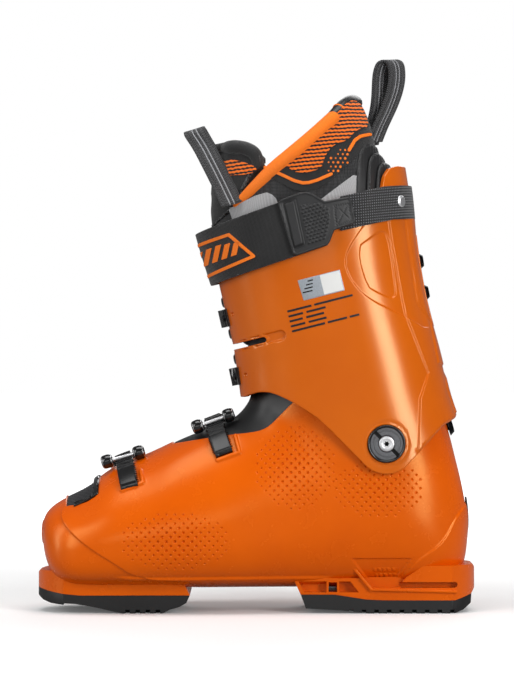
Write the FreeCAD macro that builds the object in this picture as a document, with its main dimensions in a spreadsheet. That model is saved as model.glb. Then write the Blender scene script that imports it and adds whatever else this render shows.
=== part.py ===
import FreeCAD, Part
import Sketcher
import math
import os

# Alpine ski boot for the right foot. Millimetres. +X points to the heel, +Y to the outer (lateral)
# side and +Z up. The origin is on the ground, halfway along the boot sole and on its centre line.

os.makedirs("parts", exist_ok=True)
doc = FreeCAD.newDocument("ski_boot")
V = FreeCAD.Vector

DIMENSIONS = [
    ("sole_length", 315, "boot sole length, tip of the toe lug to the back of the heel lug"),
    ("sole_width", 69, "width of the toe and heel lugs"),
    ("shell_wall", 4.5, "wall of the lower shell"),
    ("cuff_wall", 3.8, "wall of the cuff"),
    ("liner_gap", 0.4, "gap between shell and liner"),
    ("liner_wall", 6, "padding of the liner's foot"),
    ("collar_wall", 10, "padding of the liner's cuff"),
    ("pivot_x", 92, "hinge axis, back from the middle of the sole"),
    ("pivot_z", 121.5, "hinge axis, height above the ground"),
    ("lobe_radius", 21.5, "cuff lobe around the hinge axis"),
    ("disc_radius", 13.4, "cant disc"),
    ("disc_bore", 5.6, "bore of the cant disc, a running fit on the screw head"),
    ("disc_thick", 5.6, "cant disc thickness"),
    ("screw_head", 5.55, "pivot screw head radius"),
    ("screw_shank", 3, "pivot screw shank radius"),
    ("nut_radius", 9, "T-nut flange radius"),
    ("nut_thick", 1.6, "T-nut flange thickness"),
    ("pad_top", 12.8, "top of the rubber toe pad"),
    ("heel_pad_top", 9.4, "top of the rubber heel pad"),
    ("lug_top", 30, "top face of the toe lug"),
    ("heel_lug_top", 33, "top face of the heel lug"),
    ("toe_touch_front", -95, "front of the toe pad's ground contact"),
    ("toe_touch_back", -67, "back of the toe pad's ground contact"),
    ("heel_touch_front", 80, "front of the heel pad's ground contact"),
    ("heel_touch_back", 141, "back of the heel pad's ground contact"),
    ("pad_screw", 3.6, "head radius of the sole pad screws"),
    ("board_thick", 5, "boot board thickness"),
    ("board_z", 22.5, "underside of the boot board"),
    ("board_length", 250, "boot board length"),
    ("board_width", 62, "boot board width"),
    ("footbed_thick", 3, "insole thickness"),
    ("ladder_width", 12.6, "width of a ladder along the boot"),
    ("lever_width", 15, "width of a buckle lever"),
    ("bail_width", 25.6, "outside width of a buckle's wire loop"),
    ("wire", 2.8, "buckle wire thickness"),
    ("knob_radius", 4.4, "end knob of the wire loop's crossbar"),
    ("pin_radius", 1.5, "buckle hinge pin"),
    ("rivet_radius", 3.2, "rivet head"),
    ("spine_length", 66, "spine plate length"),
    ("spine_width", 24, "spine plate width"),
    ("spine_thick", 1.8, "spine plate thickness"),
    ("gasket_thick", 0.8, "gasket under the spine plate"),
    ("bolt_radius", 5.6, "head radius of the rear bolts"),
    ("bolt_head", 2.4, "head height of the rear bolts"),
    ("strap_height", 38, "power strap width"),
    ("strap_thick", 2.6, "power strap thickness"),
    ("webbing_height", 25, "rear webbing width"),
    ("webbing_thick", 2, "rear webbing thickness"),
    ("tab_thick", 3, "rubber tab thickness"),
    ("loop_width", 17, "pull loop webbing width"),
    ("loop_thick", 2, "pull loop webbing thickness"),
    ("piping_radius", 4.4, "collar piping radius"),
    ("label_length", 36, "sticker length"),
    ("label_height", 14, "sticker height"),
    ("label_thick", 0.25, "sticker thickness"),
]

sheet = doc.addObject("Spreadsheet::Sheet", "Sizes")
for row, (alias, value, note) in enumerate(DIMENSIONS, start=1):
    sheet.set(f"A{row}", note)
    sheet.set(f"B{row}", str(value))
    sheet.setAlias(f"B{row}", alias)
doc.recompute()


def size(alias):
    return float(sheet.get(alias))


PIVOT = V(size("pivot_x"), 0, size("pivot_z"))
UP = V(0, 0, 1)
SIDE = V(0, 1, 0)
BACK = V(1, 0, 0)
SUBPARTS = []


def keep(obj, label):
    """Gives a sub-part its name and puts it on the list of exported pieces."""
    obj.Label = label
    SUBPARTS.append(obj)
    return obj


def feature(label, shape, move=None):
    """A sub-part whose free-form shape is worked out in code from the sheet."""
    obj = doc.addObject("Part::Feature", label)
    obj.Shape = shape
    obj.Placement = move or FreeCAD.Placement()
    return keep(obj, label)


# ---------------------------------------------------------------- surfaces from rings


def ring(end_a, end_b, middle, medial, lateral, power_a, power_b, count=32):
    """Points of a super-ellipse between two side-view points, as wide as medial and lateral say."""
    a = V(end_a[0], 0, end_a[1])
    b = V(end_b[0], 0, end_b[1])
    centre = b + (a - b) * middle
    points = []
    for k in range(count):
        turn = math.pi * (2 * k / count - 0.5)
        rise, width = math.sin(turn), math.cos(turn)
        if k == 0:
            rise, width = -1.0, 0.0
        power = power_a if rise >= 0 else power_b
        end = a if rise >= 0 else b
        along = abs(rise) ** (2 / power)
        aside = abs(width) ** (2 / power)
        offset = lateral * aside if width >= 0 else -medial * aside
        points.append(centre + (end - centre) * along + SIDE * offset)
    return points + [points[0]]


def inset(station, depth, stretch=0.0):
    """The same station moved inwards by depth, and along X towards the middle by stretch."""
    (ax, az), (bx, bz), middle, medial, lateral, power_a, power_b = station
    length = math.hypot(ax - bx, az - bz)
    dx = (ax - bx) / length * depth
    dz = (az - bz) / length * depth
    end_a = (ax - dx + stretch, az - dz)
    end_b = (bx + dx + stretch, bz + dz)
    return (end_a, end_b, middle, medial - depth, lateral - depth, power_a, power_b)


def skin(stations):
    """Solid bounded by one smooth surface through all the stations' rings and two flat ends."""
    surface = Part.BSplineSurface()
    surface.interpolate([ring(*station) for station in stations])
    low, high = surface.bounds()[:2]
    ends = [Part.Face(Part.Wire([surface.uIso(u).toShape()])) for u in (low, high)]
    shell = Part.Shell([surface.toShape()] + ends)
    shell.sewShape()
    solid = Part.Solid(shell)
    if solid.Volume < 0:
        solid.reverse()
    return solid


def slab(corners, half_width=120, middle=0.0):
    """Side-view outline made solid across the boot."""
    points = [V(x, middle - half_width, z) for x, z in corners]
    face = Part.Face(Part.makePolygon(points + [points[0]]))
    return face.extrude(SIDE * 2 * half_width)


def plan(corners, low, high):
    """Outline seen from above made solid from low to high."""
    points = [V(x, y, low) for x, y in corners]
    return Part.Face(Part.makePolygon(points + [points[0]])).extrude(UP * (high - low))


def arc_points(centre, radius, start, stop, count):
    angles = [start + (stop - start) * k / (count - 1) for k in range(count)]
    return [
        (centre[0] + radius * math.cos(math.radians(a)), centre[1] + radius * math.sin(math.radians(a)))
        for a in angles
    ]


# Lower shell: top or front point, bottom or rear point, where it is widest, half widths, fullness.
# The first stations stand upright in the forefoot, the last ones fan around the instep to the heel.
FOREFOOT = [
    ((-154.6, 66), (-154.6, 47), 0.45, 17, 15, 2.6, 2.6),
    ((-152.6, 70.5), (-152.6, 38), 0.42, 28, 25, 2.5, 2.8),
    ((-147, 76.5), (-147, 26), 0.40, 39, 34, 2.3, 3.0),
    ((-137, 82.5), (-137, 19), 0.40, 47, 42, 2.15, 3.2),
    ((-122, 90), (-122, 17), 0.40, 52, 49, 2.0, 3.3),
    ((-104, 102.5), (-104, 17), 0.38, 55, 54, 1.9, 3.3),
    ((-82, 111.6), (-82, 17), 0.38, 56.5, 58, 1.85, 3.2),
    ((-60, 121.6), (-60, 17), 0.38, 56.5, 60, 1.85, 3.2),
]
INSTEP = [
    ((-44, 128.5), (-40, 17), 0.38, 55, 59, 1.85, 3.1),
    ((-27, 135), (-12, 17), 0.40, 52.5, 57, 1.9, 3.0),
    ((-15.5, 140.5), (18, 17), 0.44, 49.5, 53.5, 2.0, 2.9),
    ((-9, 147), (48, 17), 0.48, 47, 50, 2.1, 2.9),
    ((-5.5, 153), (78, 17), 0.50, 46, 47.5, 2.15, 2.9),
]
HEEL = [
    ((-4, 159), (106, 17), 0.50, 45.5, 46.5, 2.2, 2.8),
    ((-3.5, 164), (130, 19), 0.50, 45.5, 46, 2.2, 2.7),
    ((-3.2, 169), (146.5, 30), 0.50, 46, 46, 2.2, 2.5),
    ((-3.2, 174), (151.3, 48), 0.50, 46, 46, 2.2, 2.4),
    ((-3.4, 179), (152.4, 68), 0.50, 46.2, 46.2, 2.2, 2.3),
    ((-3.8, 184), (149.4, 90), 0.50, 46.5, 46.5, 2.2, 2.3),
    ((-4.4, 189), (144.6, 110), 0.50, 46.8, 46.8, 2.2, 2.3),
    ((-5.2, 194), (140, 128), 0.50, 47, 47, 2.2, 2.3),
    ((-6.2, 200), (134, 146), 0.50, 47.2, 47.2, 2.2, 2.3),
    ((-7.4, 207), (126.5, 165), 0.50, 47.4, 47.4, 2.2, 2.3),
]
SHELL = FOREFOOT + INSTEP + HEEL


def shell_skin(depth, skip=0):
    """The lower shell's outer surface moved inwards by depth."""
    stations = []
    for station in SHELL[skip:]:
        reach = -station[1][0] / abs(SHELL[0][1][0])
        stations.append(inset(station, depth, depth * max(0.0, min(1.0, (reach - 0.6) / 0.4))))
    return skin(stations)


# Edge of the shell's flaps and throat in side view, from the instep seam up to the ankle.
FLAP_EDGE = [(-60, 120.6), (-52, 122), (-34, 125.2), (-18, 127.6), (-4, 129.2), (3.5, 130.8)]
FLAP_EDGE += [(9.5, 134.2), (17, 141.8), (24, 149), (33, 157), (44, 162), (60, 164)]
SHELL_TOP = 164
TOE_WINDOW = [(-136, 76.5), (-124.7, 78.5), (-115.5, 81.5), (-113.8, 87), (-115.2, 120), (-140, 120)]

outer = shell_skin(0)
inner = shell_skin(size("shell_wall"))

half_length = size("sole_length") / 2
half_width = size("sole_width") / 2

# Toe and heel blocks: side outline times plan outline.
toe_side = [
    (-half_length, 17.2),
    (-half_length, 27),
    (-half_length + 1, 29),
    (-half_length + 3, size("lug_top")),
    (-131, size("lug_top")),
    (-124, 26),
    (-112, 23.5),
    (-52, 21),
    (-47.5, size("pad_top")),
    (-126, size("pad_top")),
    (-140, 14.2),
    (-150, 15.8),
]
toe_plan = [(-46, -half_width + 1), (-46, half_width - 1)]
toe_plan += [(x, y) for x, y in arc_points((-half_length + 40, 0), 40, 120, 240, 17)]
toe_plan[2:2] = [(-130, half_width)]
toe_plan.append((-130, -half_width))

heel_side = [
    (27.5, 24),
    (31.5, 13.4),
    (56, 13.4),
    (78, 10),
    (90, size("heel_pad_top")),
    (142, size("heel_pad_top")),
    (154.5, 13),
    (half_length, 17),
    (half_length, 30),
    (half_length - 2, size("heel_lug_top")),
    (120, size("heel_lug_top")),
    (100, 26),
    (60, 24),
]
heel_plan = [(half_length - 42, half_width), (27, half_width - 2), (27, -half_width + 2)]
heel_plan += [(half_length - 42, -half_width)]
heel_plan += arc_points((half_length - 42, 0), 42, -58, 58, 17)

toe_block = slab(toe_side).common(plan(toe_plan, 0, 60))
heel_block = slab(heel_side).common(plan(heel_plan, 0, 60))
lug_hole = Part.makeBox(6, 200, 7, V(51.5, -100, 15.2))
side_groove = Part.makeBox(42, 5, 4.2, V(101.5, -half_width - 1, 18.4))
far_groove = Part.makeBox(42, 5, 4.2, V(101.5, half_width - 4, 18.4))

throat = slab(FLAP_EDGE + [(200, SHELL_TOP), (200, 300), (-100, 300), (-64, 200)])
toe_window = slab(TOE_WINDOW, 34, 0)

def cut_all(shape, tools):
    for tool in tools:
        shape = shape.cut(tool)
    return shape


def side_at(solid, x, z, side):
    """Y where a solid's surface is met on one side, at the given place in side view."""
    line = Part.makeLine(V(x, 0, z), V(x, side * 120, z))
    ends = [vertex.Y * side for vertex in solid.common(line).Vertexes]
    return side * max(ends)


lower_shell = outer.cut(inner).cut(throat)
lower_shell = lower_shell.fuse(toe_block.fuse(heel_block).cut(inner))
nut_barrel = 4.2
pivot_hole = Part.makeCylinder(nut_barrel + 0.05, 300, PIVOT - SIDE * 150, SIDE)
lower_shell = cut_all(lower_shell, [toe_window, lug_hole, side_groove, far_groove, pivot_hole])

# ---------------------------------------------------------------- dams, board, liner foot

dam_outer = shell_skin(1)
dam_inner = shell_skin(3.6)
dam_zone = slab([(-59.4, 121.1)] + [(x, z + 0.3) for x, z in FLAP_EDGE[1:-2]] + [(30, 159), (-59.4, 159)])
feature("instep_dam", dam_outer.cut(dam_inner).common(dam_zone))

window_fill = [(-135.4, 77.2), (-124.7, 79.2), (-116, 82.2), (-114.3, 87), (-115.7, 99.6), (-119.5, 99.2)]
window_fill += [(-122.5, 90), (-128, 88), (-135, 82.6)]
toe_dam = outer.cut(shell_skin(size("shell_wall") - 1)).common(slab(window_fill, 33.6))
feature("toe_dam", toe_dam)

liner_depth = size("shell_wall") + size("liner_gap")
floor_z = size("board_z") + size("board_thick")
liner_floor = floor_z + 0.4 + size("liner_wall")
above_board = Part.makeBox(400, 300, 300, V(-200, -150, floor_z + 0.4))
above_floor = Part.makeBox(400, 300, 300, V(-200, -150, liner_floor))
LINER_SPLIT = [(-30, 152), (140, 188), (140, 260), (-30, 260)]
liner_foot = shell_skin(liner_depth).common(above_board)
cavity = shell_skin(liner_depth + size("liner_wall"), 1).common(above_floor)
liner_foot = liner_foot.cut(cavity).cut(slab(LINER_SPLIT))

board_box = Part.makeBox(size("board_length"), 120, size("board_thick"), V(-125, -60, size("board_z")))
feature("boot_board", shell_skin(liner_depth).common(board_box))
footbed_box = Part.makeBox(260, 120, size("footbed_thick"), V(-132, -60, liner_floor + 0.2))
feature("footbed", shell_skin(liner_depth + size("liner_wall") + 0.5, 1).common(footbed_box))

# ---------------------------------------------------------------- cuff

# Cuff: front point, rear point, where it is widest from the rear, half widths, fullness.
CUFF = [
    ((1, 78), (154, 104), 0.50, 51.2, 51.5, 2.3, 2.3),
    ((-5, 108), (148.5, 126), 0.50, 52, 52.3, 2.3, 2.3),
    ((-9, 135), (142.5, 143.5), 0.50, 52.8, 53.5, 2.3, 2.3),
    ((-12, 158), (137, 161), 0.50, 53.6, 55, 2.3, 2.3),
    ((-14.5, 176), (131.5, 184), 0.50, 54.4, 56.5, 2.25, 2.3),
    ((-18, 196), (125, 208), 0.50, 55.4, 58, 2.25, 2.3),
    ((-24, 222), (118.5, 236), 0.50, 56.5, 59.6, 2.2, 2.3),
    ((-30, 248), (113.6, 268), 0.50, 57.3, 60.6, 2.2, 2.3),
    ((-35, 270), (111, 297), 0.50, 57.8, 61, 2.2, 2.3),
    ((-38.5, 285), (107, 324), 0.50, 58, 61, 2.2, 2.3),
]


def cuff_skin(depth):
    """The cuff's outer surface moved inwards by depth, or outwards where depth is negative."""
    return skin([inset(station, depth) for station in CUFF])


lobe = arc_points((size("pivot_x"), size("pivot_z")), size("lobe_radius"), 225, 315, 9)
CUFF_HEM = [(-60, 152), (-10.6, 153), (-4, 156.4), (4, 158), (12, 157), (24, 151.6), (33.5, 146), (46, 137.6)]
CUFF_HEM += lobe + [(142, 143.2), (200, 150)]
below_hem = slab(CUFF_HEM + [(200, 0), (-60, 0)])
CUFF_RIM = [(-60, 258), (-36, 265), (15, 283), (66, 291), (88, 296), (92, 316), (104, 320.5), (140, 318)]
above_rim = slab(CUFF_RIM + [(140, 400), (-60, 400)])
flex_slot = slab([(-60, 175), (-13, 187.4), (8, 194.4), (9, 191), (7, 190.4), (-13, 183.8), (-60, 171)])
front_slit = Part.makeBox(60, 3, 200, V(-60, 9, 120))

cuff_outer = cuff_skin(0)
disc_hole = Part.makeCylinder(size("disc_radius") + 0.05, 300, PIVOT - SIDE * 150, SIDE)
cuff = cut_all(cuff_outer, [below_hem, above_rim]).cut(cuff_skin(size("cuff_wall")))
cuff = cut_all(cuff, [flex_slot, front_slit, disc_hole])
feature("cuff", cuff)

# ---------------------------------------------------------------- liner cuff and tongue

COLLAR = [
    ((-2, 168), (124, 186), 0.50, 49.4, 50.5, 2.3, 2.3),
    ((-9.5, 190), (119, 206), 0.50, 50.4, 52.8, 2.25, 2.3),
    ((-18, 220), (111.5, 236), 0.50, 51.8, 54.8, 2.2, 2.3),
    ((-25, 248), (105, 268), 0.50, 52.6, 56, 2.2, 2.3),
    ((-32.5, 274), (98, 297), 0.50, 53, 56, 2.2, 2.3),
    ((-34, 298), (92, 324), 0.50, 53, 55.5, 2.2, 2.3),
    ((-32, 322), (85, 350), 0.50, 52.5, 54.5, 2.2, 2.3),
    ((-28, 348), (77, 378), 0.50, 51.5, 53, 2.2, 2.3),
]


def collar_skin(depth):
    return skin([inset(station, depth) for station in COLLAR])


collar = size("collar_wall")
COLLAR_LINE = [(-38, 274), (-17, 293), (10, 316.5), (54, 354), (66, 369), (72, 371), (79, 360), (84, 340)]
wrap_zone = slab(COLLAR_LINE + [(140, 330), (140, 150), (-6, 150), (-8, 262)])
tongue_front = slab([(-60, 181), (-8.4, 176), (-8.4, 310), (2, 326), (-4, 333), (-16, 336), (-60, 334)])
tongue_wing = slab([(-8.6, 176), (16, 180), (26, 300), (10, 320), (-4, 333), (-8.6, 334)])
wrap = collar_skin(0).cut(collar_skin(collar)).common(wrap_zone)
tongue_deep = collar_skin(collar + 7)
tongue_clear = slab([(-39, 273.2), (-17.6, 293.6), (-8.4, 301.6), (-8.4, 261), (-20, 265)])
tongue_shape = collar_skin(0).common(tongue_front.cut(tongue_clear)).cut(tongue_deep)
tongue_under = collar_skin(collar + 0.4).common(tongue_wing.fuse(tongue_front.common(tongue_clear)))
tongue_shape = tongue_shape.fuse(tongue_under.cut(tongue_deep))
feature("liner_cuff", wrap)
feature("liner_tongue", tongue_shape)

# ---------------------------------------------------------------- buckles


class Wrap:
    """Outline of a surface in one plane, walked by arc length from its start, outer side positive."""

    def __init__(self, solid, centre, normal, start):
        self.normal = V(normal).normalize()
        wires = solid.slice(self.normal, self.normal.dot(centre))
        wire = max(wires, key=lambda w: w.Length)
        self.points = wire.discretize(Number=721)[:-1]
        self.middle = sum(self.points, V()) * (1 / len(self.points))
        first = max(range(len(self.points)), key=lambda i: self.points[i].dot(start))
        self.points = self.points[first:] + self.points[:first]
        if self.points[30].y < self.points[0].y:
            self.points = self.points[:1] + self.points[:0:-1]
        self.step = wire.Length / len(self.points)

    def place(self, along, offset=0.0):
        """Point at an arc length from the start, moved outwards by offset."""
        index = along / self.step
        low = math.floor(index)
        count = len(self.points)
        a, b = self.points[low % count], self.points[(low + 1) % count]
        point = a + (b - a) * (index - low)
        return point + self.outward(along) * offset

    def outward(self, along):
        count = len(self.points)
        index = round(along / self.step)
        tangent = self.points[(index + 8) % count] - self.points[(index - 8) % count]
        out = tangent.cross(self.normal).normalize()
        return out if out.dot(self.points[index % count] - self.middle) > 0 else -out

    def strip(self, start, stop, low, high, width, shift=0.0, bend=5):
        """Strip of constant width between two arc lengths and two offsets from the surface."""
        count = max(3, int(abs(stop - start) / bend) + 2)
        marks = [start + (stop - start) * k / (count - 1) for k in range(count)]
        curves = []
        for offset in (low, high):
            heights = offset if isinstance(offset, (list, tuple)) else (offset, offset)
            curve = Part.BSplineCurve()
            curve.interpolate([
                self.place(s, heights[0] + (heights[1] - heights[0]) * k / (count - 1))
                for k, s in enumerate(marks)
            ])
            curves.append(curve)
        low_curve, high_curve = curves
        ends = [
            Part.makeLine(low_curve.StartPoint, high_curve.StartPoint),
            Part.makeLine(low_curve.EndPoint, high_curve.EndPoint),
        ]
        wire = Part.Wire(Part.__sortEdges__([low_curve.toShape(), high_curve.toShape()] + ends))
        face = Part.Face(wire)
        face.translate(self.normal * (shift - width / 2))
        return face.extrude(self.normal * width)

    def rod(self, along, offset, radius, width, shift=0.0):
        """Round bar across the strip."""
        base = self.place(along, offset) + self.normal * (shift - width / 2)
        return Part.makeCylinder(radius, width, base, self.normal)

    def upright(self, along, offset, radius, height, shift=0.0):
        """Round bar that stands on the surface."""
        base = self.place(along, offset) + self.normal * shift
        return Part.makeCylinder(radius, height, base, self.outward(along))


def fuse_all(shapes):
    body = shapes[0]
    for shape in shapes[1:]:
        body = body.fuse(shape)
    return body.removeSplitter()


def rivet(wrap, along, shift, seat, sink):
    """Domed rivet head on a plate, with its shank through the plate and the wall."""
    radius = size("rivet_radius")
    out = wrap.outward(along)
    base = wrap.place(along, seat) + wrap.normal * shift
    head = Part.makeCone(radius, radius * 0.62, 1.3, base, out)
    return head.fuse(Part.makeCylinder(radius * 0.45, sink, base - out * sink, out))


lever_width = size("lever_width")
bail_width = size("bail_width")
wire = size("wire")
pin = size("pin_radius")
EAR = 1.8
EAR_GAP = 0.35
HINGE_HEIGHT = 6.4
KNOB_LENGTH = 7


def make_buckle(name, wrap, skin_solid, bar, ladder_end, hinge, loop_reach, handle, rivets, holes, steps):
    """One buckle: toothed ladder at the bar, hinge plate, lever and wire loop. Returns its hinges."""
    plate = 1.8
    knob = size("knob_radius")
    bar_height = knob + 1.1
    loop_pin = hinge + loop_reach
    # Ladder with a tooth each side of the bar; steps are the teeth's distances from it.
    ladder = [wrap.strip(ladder_end, bar + 15, -1.5, plate + 0.4, size("ladder_width"))]
    for step in steps:
        tooth = wrap.strip(bar + step - 1.2, bar + step + 1.2, plate, (5.4, 4.6), size("ladder_width"))
        ladder.append(tooth)
    ladder = fuse_all(ladder).cut(skin_solid)
    # Hinge plate with two ears.
    base = [wrap.strip(hinge - 9, hinge + 26, -1.5, plate, lever_width + 2 * (EAR_GAP + EAR))]
    ear_shift = lever_width / 2 + EAR_GAP + EAR / 2
    for side in (-1, 1):
        ear = wrap.rod(hinge, HINGE_HEIGHT, 3.4, EAR, side * ear_shift)
        foot = wrap.strip(hinge - 3.4, hinge + 3.4, 0.2, HINGE_HEIGHT, EAR, side * ear_shift)
        base += [ear, foot]
    base = fuse_all(base).cut(skin_solid)
    base = base.cut(wrap.rod(hinge, HINGE_HEIGHT, pin, 60))
    # Lever: hinge barrel, loop barrel, two side rails, a web and a lifted finger tab.
    top, low = HINGE_HEIGHT + 1.7, HINGE_HEIGHT - 1.3
    rail = 3.2
    shift = (lever_width - rail) / 2
    lever = [
        wrap.rod(hinge, HINGE_HEIGHT, 3.2, lever_width),
        wrap.rod(loop_pin, HINGE_HEIGHT, 3.2, lever_width),
        wrap.strip(hinge, handle - 16, low, top, rail, shift),
        wrap.strip(hinge, handle - 16, low, top, rail, -shift),
        wrap.strip(hinge + 2, handle - 10, low + 0.4, top - 0.6, lever_width),
        wrap.strip(handle - 20, handle, (low, low - 0.6), (top, top + 1.6), lever_width),
    ]
    lever = fuse_all(lever)
    windows = [(loop_pin + 5, loop_pin + 13), (loop_pin + 16, loop_pin + 24)]
    for start, stop in windows[:holes]:
        lever = lever.cut(wrap.strip(start, stop, 0, 14, lever_width - 2 * rail))
    lever = lever.cut(wrap.rod(hinge, HINGE_HEIGHT, pin + 0.05, 60))
    lever = lever.cut(wrap.rod(loop_pin, HINGE_HEIGHT, wire / 2 + 0.05, 60))
    # Wire loop: two legs, a crossbar with end knobs and a pin through the lever's loop barrel.
    leg_shift = (bail_width - wire) / 2
    leg_low, leg_high = bar_height - wire / 2, bar_height + wire / 2
    over = hinge - 12
    bail = [wrap.rod(loop_pin, HINGE_HEIGHT, wire / 2, bail_width)]
    for side in (-1, 1):
        bail.append(wrap.strip(bar, over, leg_low, leg_high, wire, side * leg_shift))
        lift = (leg_low, HINGE_HEIGHT - wire / 2)
        crest = (leg_high, HINGE_HEIGHT + wire / 2)
        bail.append(wrap.strip(over, loop_pin + 1.2, lift, crest, wire, side * leg_shift))
        bail.append(wrap.rod(bar, bar_height, knob, KNOB_LENGTH, side * (leg_shift + 0.4)))
    bail.append(wrap.rod(bar, bar_height, wire / 2, bail_width))
    bail = fuse_all(bail)
    feature(name + "_ladder", ladder)
    feature(name + "_buckle_base", base)
    feature(name + "_lever", lever)
    feature(name + "_bail", bail)
    pin_obj = doc.addObject("Part::Cylinder", name + "_lever_pin")
    pin_obj.setExpression("Radius", "Sizes.pin_radius")
    pin_obj.setExpression("Height", f"Sizes.lever_width + {2 * (EAR + EAR_GAP)}")
    length = lever_width + 2 * (EAR + EAR_GAP)
    start = wrap.place(hinge, HINGE_HEIGHT) - wrap.normal * length / 2
    pin_obj.Placement = FreeCAD.Placement(start, FreeCAD.Rotation(UP, wrap.normal))
    keep(pin_obj, name + "_lever_pin")
    heads = [rivet(wrap, s, 0, plate + (0.4 if s < bar else 0), 5) for s in rivets]
    for part_name, at in (("hinge", hinge), ("loop", loop_pin)):
        spot = wrap.place(at, HINGE_HEIGHT)
        axis = wrap.normal
        print(name, part_name, [round(c / 1000, 6) for c in spot], [round(c, 6) for c in axis])
    return heads


def tilted(angle):
    """Direction along the boot, raised at the heel end by an angle."""
    return V(math.cos(math.radians(angle)), 0, math.sin(math.radians(angle)))


toe_wrap = Wrap(outer, V(-92.5, 0, 98.5), tilted(16), UP)
instep_wrap = Wrap(outer, V(-24.5, 0, 118.5), tilted(20), UP)
mid_wrap = Wrap(cuff_outer, V(-13, 0, 169), tilted(102), -BACK)
top_wrap = Wrap(cuff_outer, V(-21, 0, 211), tilted(103), -BACK)

SHORT_LADDER = (-4.1, 4.3, 8.3, 12.3)
LONG_LADDER = (-32.1, -28.1, -24.1, -20.1, -16.1, -12.1, -8.1, -4.1, 4.3, 8.3, 12.3)
shell_heads = make_buckle("toe", toe_wrap, outer, -11, -44, 24, 13, 78, (-36, 45), 1, SHORT_LADDER)
shell_heads += make_buckle("instep", instep_wrap, outer, -12, -42, 24, 13, 80, (-35, 45), 1, SHORT_LADDER)
cuff_heads = make_buckle("mid", mid_wrap, cuff_outer, 32, -14, 68, 15, 134, (-8.5, 90), 2, LONG_LADDER)
cuff_heads += make_buckle("top", top_wrap, cuff_outer, 32, -14, 68, 15, 134, (-8.5, 90), 2, LONG_LADDER)

# ---------------------------------------------------------------- strap, webbing, tab

# The strap lies on the cuff at the back and on the padded tongue at the front.
STRAP = []
for front, rear, *rest in CUFF[5:]:
    reach = 1.5 * max(0, min(4, (front[1] - 196) / 18))
    STRAP.append(((front[0] - reach, front[1]), rear, *rest))


def strap_layer(low, high, zone):
    skins = [skin([inset(station, -offset) for station in STRAP]) for offset in (high, low)]
    return skins[0].common(zone).cut(skins[1])


def half_slab(corners, side):
    """Side-view outline on one side of the boot only."""
    return slab(corners, 60, side * 60)


strap_thick = size("strap_thick")
SEAT = 0.4
band_low = [(-60, 225.2), (-36, 233), (24, 252.6), (31, 255)]
band_high = [(31, 297.2), (15.5, 291.7), (-44.5, 271), (-60, 266)]
band = half_slab(band_low + band_high, -1)
band = band.fuse(half_slab([(-60, 225.2), (-36, 233), (24, 252.6), (66, 264), (66, 302), (15.5, 291.7)]
                           + band_high[2:], 1))
feature("power_strap", strap_layer(SEAT, SEAT + strap_thick, band))

webbing_low = [(59, 271.6), (77, 275.8), (98, 280.6), (125, 283)]
webbing_high = [(125, 307), (104, 305.2), (91, 303.8), (66, 297.6), (59, 296)]
webbing_far = [(67, 273.4)] + webbing_low[1:] + webbing_high[:-2] + [(67, 297.8)]
webbing_zone = half_slab(webbing_low + webbing_high, -1).fuse(half_slab(webbing_far, 1))
webbing_skin = SEAT + size("webbing_thick")
feature("strap_webbing", strap_layer(SEAT, webbing_skin, webbing_zone))

TAB = [(16, 292.4), (35, 299), (40.5, 297.6), (47, 293.3), (64, 297), (66.5, 294), (68.6, 277.6)]
TAB += [(55.5, 271.1), (53.4, 270.4), (50.2, 260), (32.4, 253.6), (28.1, 254), (23.9, 252.6)]
tab_seat = SEAT + strap_thick + 0.1
feature("strap_tab", strap_layer(tab_seat, tab_seat + size("tab_thick"), half_slab(TAB, -1)))

strap_cover = skin([inset(station, -webbing_skin) for station in STRAP])
rivet_shapes = []
for side in (-1, 1):
    x, z = 103.4, 293.4
    here = V(x, side_at(strap_cover, x, z, side), z)
    behind = V(x - 3, side_at(strap_cover, x - 3, z - 0.7, side), z - 0.7)
    out = UP.cross(here - behind).normalize() * side * -1
    if out.y * side < 0:
        out = out * -1
    head = Part.makeCone(4.6, 3, 1.4, here - out * 0.3, out)
    rivet_shapes.append(head.fuse(Part.makeCylinder(2, 6, here - out * 6, out)))
feature("strap_rivets", Part.makeCompound(rivet_shapes))

# ---------------------------------------------------------------- rear of the cuff and the heel


def rear_at(solid, z):
    """X where a solid's surface is met at the back, at the given height."""
    line = Part.makeLine(V(60, 0, z), V(260, 0, z))
    return max(vertex.X for vertex in solid.common(line).Vertexes)


def back_patch(low_z, high_z, half, corner):
    """Rounded rectangle seen from behind, made solid along X."""
    box = Part.makeBox(120, 2 * half, high_z - low_z, V(70, -half, low_z))
    edges = [e for e in box.Edges if abs(e.tangentAt(e.FirstParameter).x) > 0.9]
    return box.makeFillet(corner, edges)


gasket_skin = cuff_skin(-size("gasket_thick"))
plate_skin = cuff_skin(-size("gasket_thick") - size("spine_thick"))
plate_low = 205
plate_high = plate_low + size("spine_length")
half_spine = size("spine_width") / 2
gasket_zone = back_patch(plate_low - 2.5, plate_high + 2.5, half_spine + 2, 7)
feature("spine_gasket", gasket_skin.common(gasket_zone).cut(cuff_outer))
plate_zone = back_patch(plate_low, plate_high, half_spine, 5.5)
feature("spine_plate", plate_skin.common(plate_zone).cut(gasket_skin))


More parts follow.
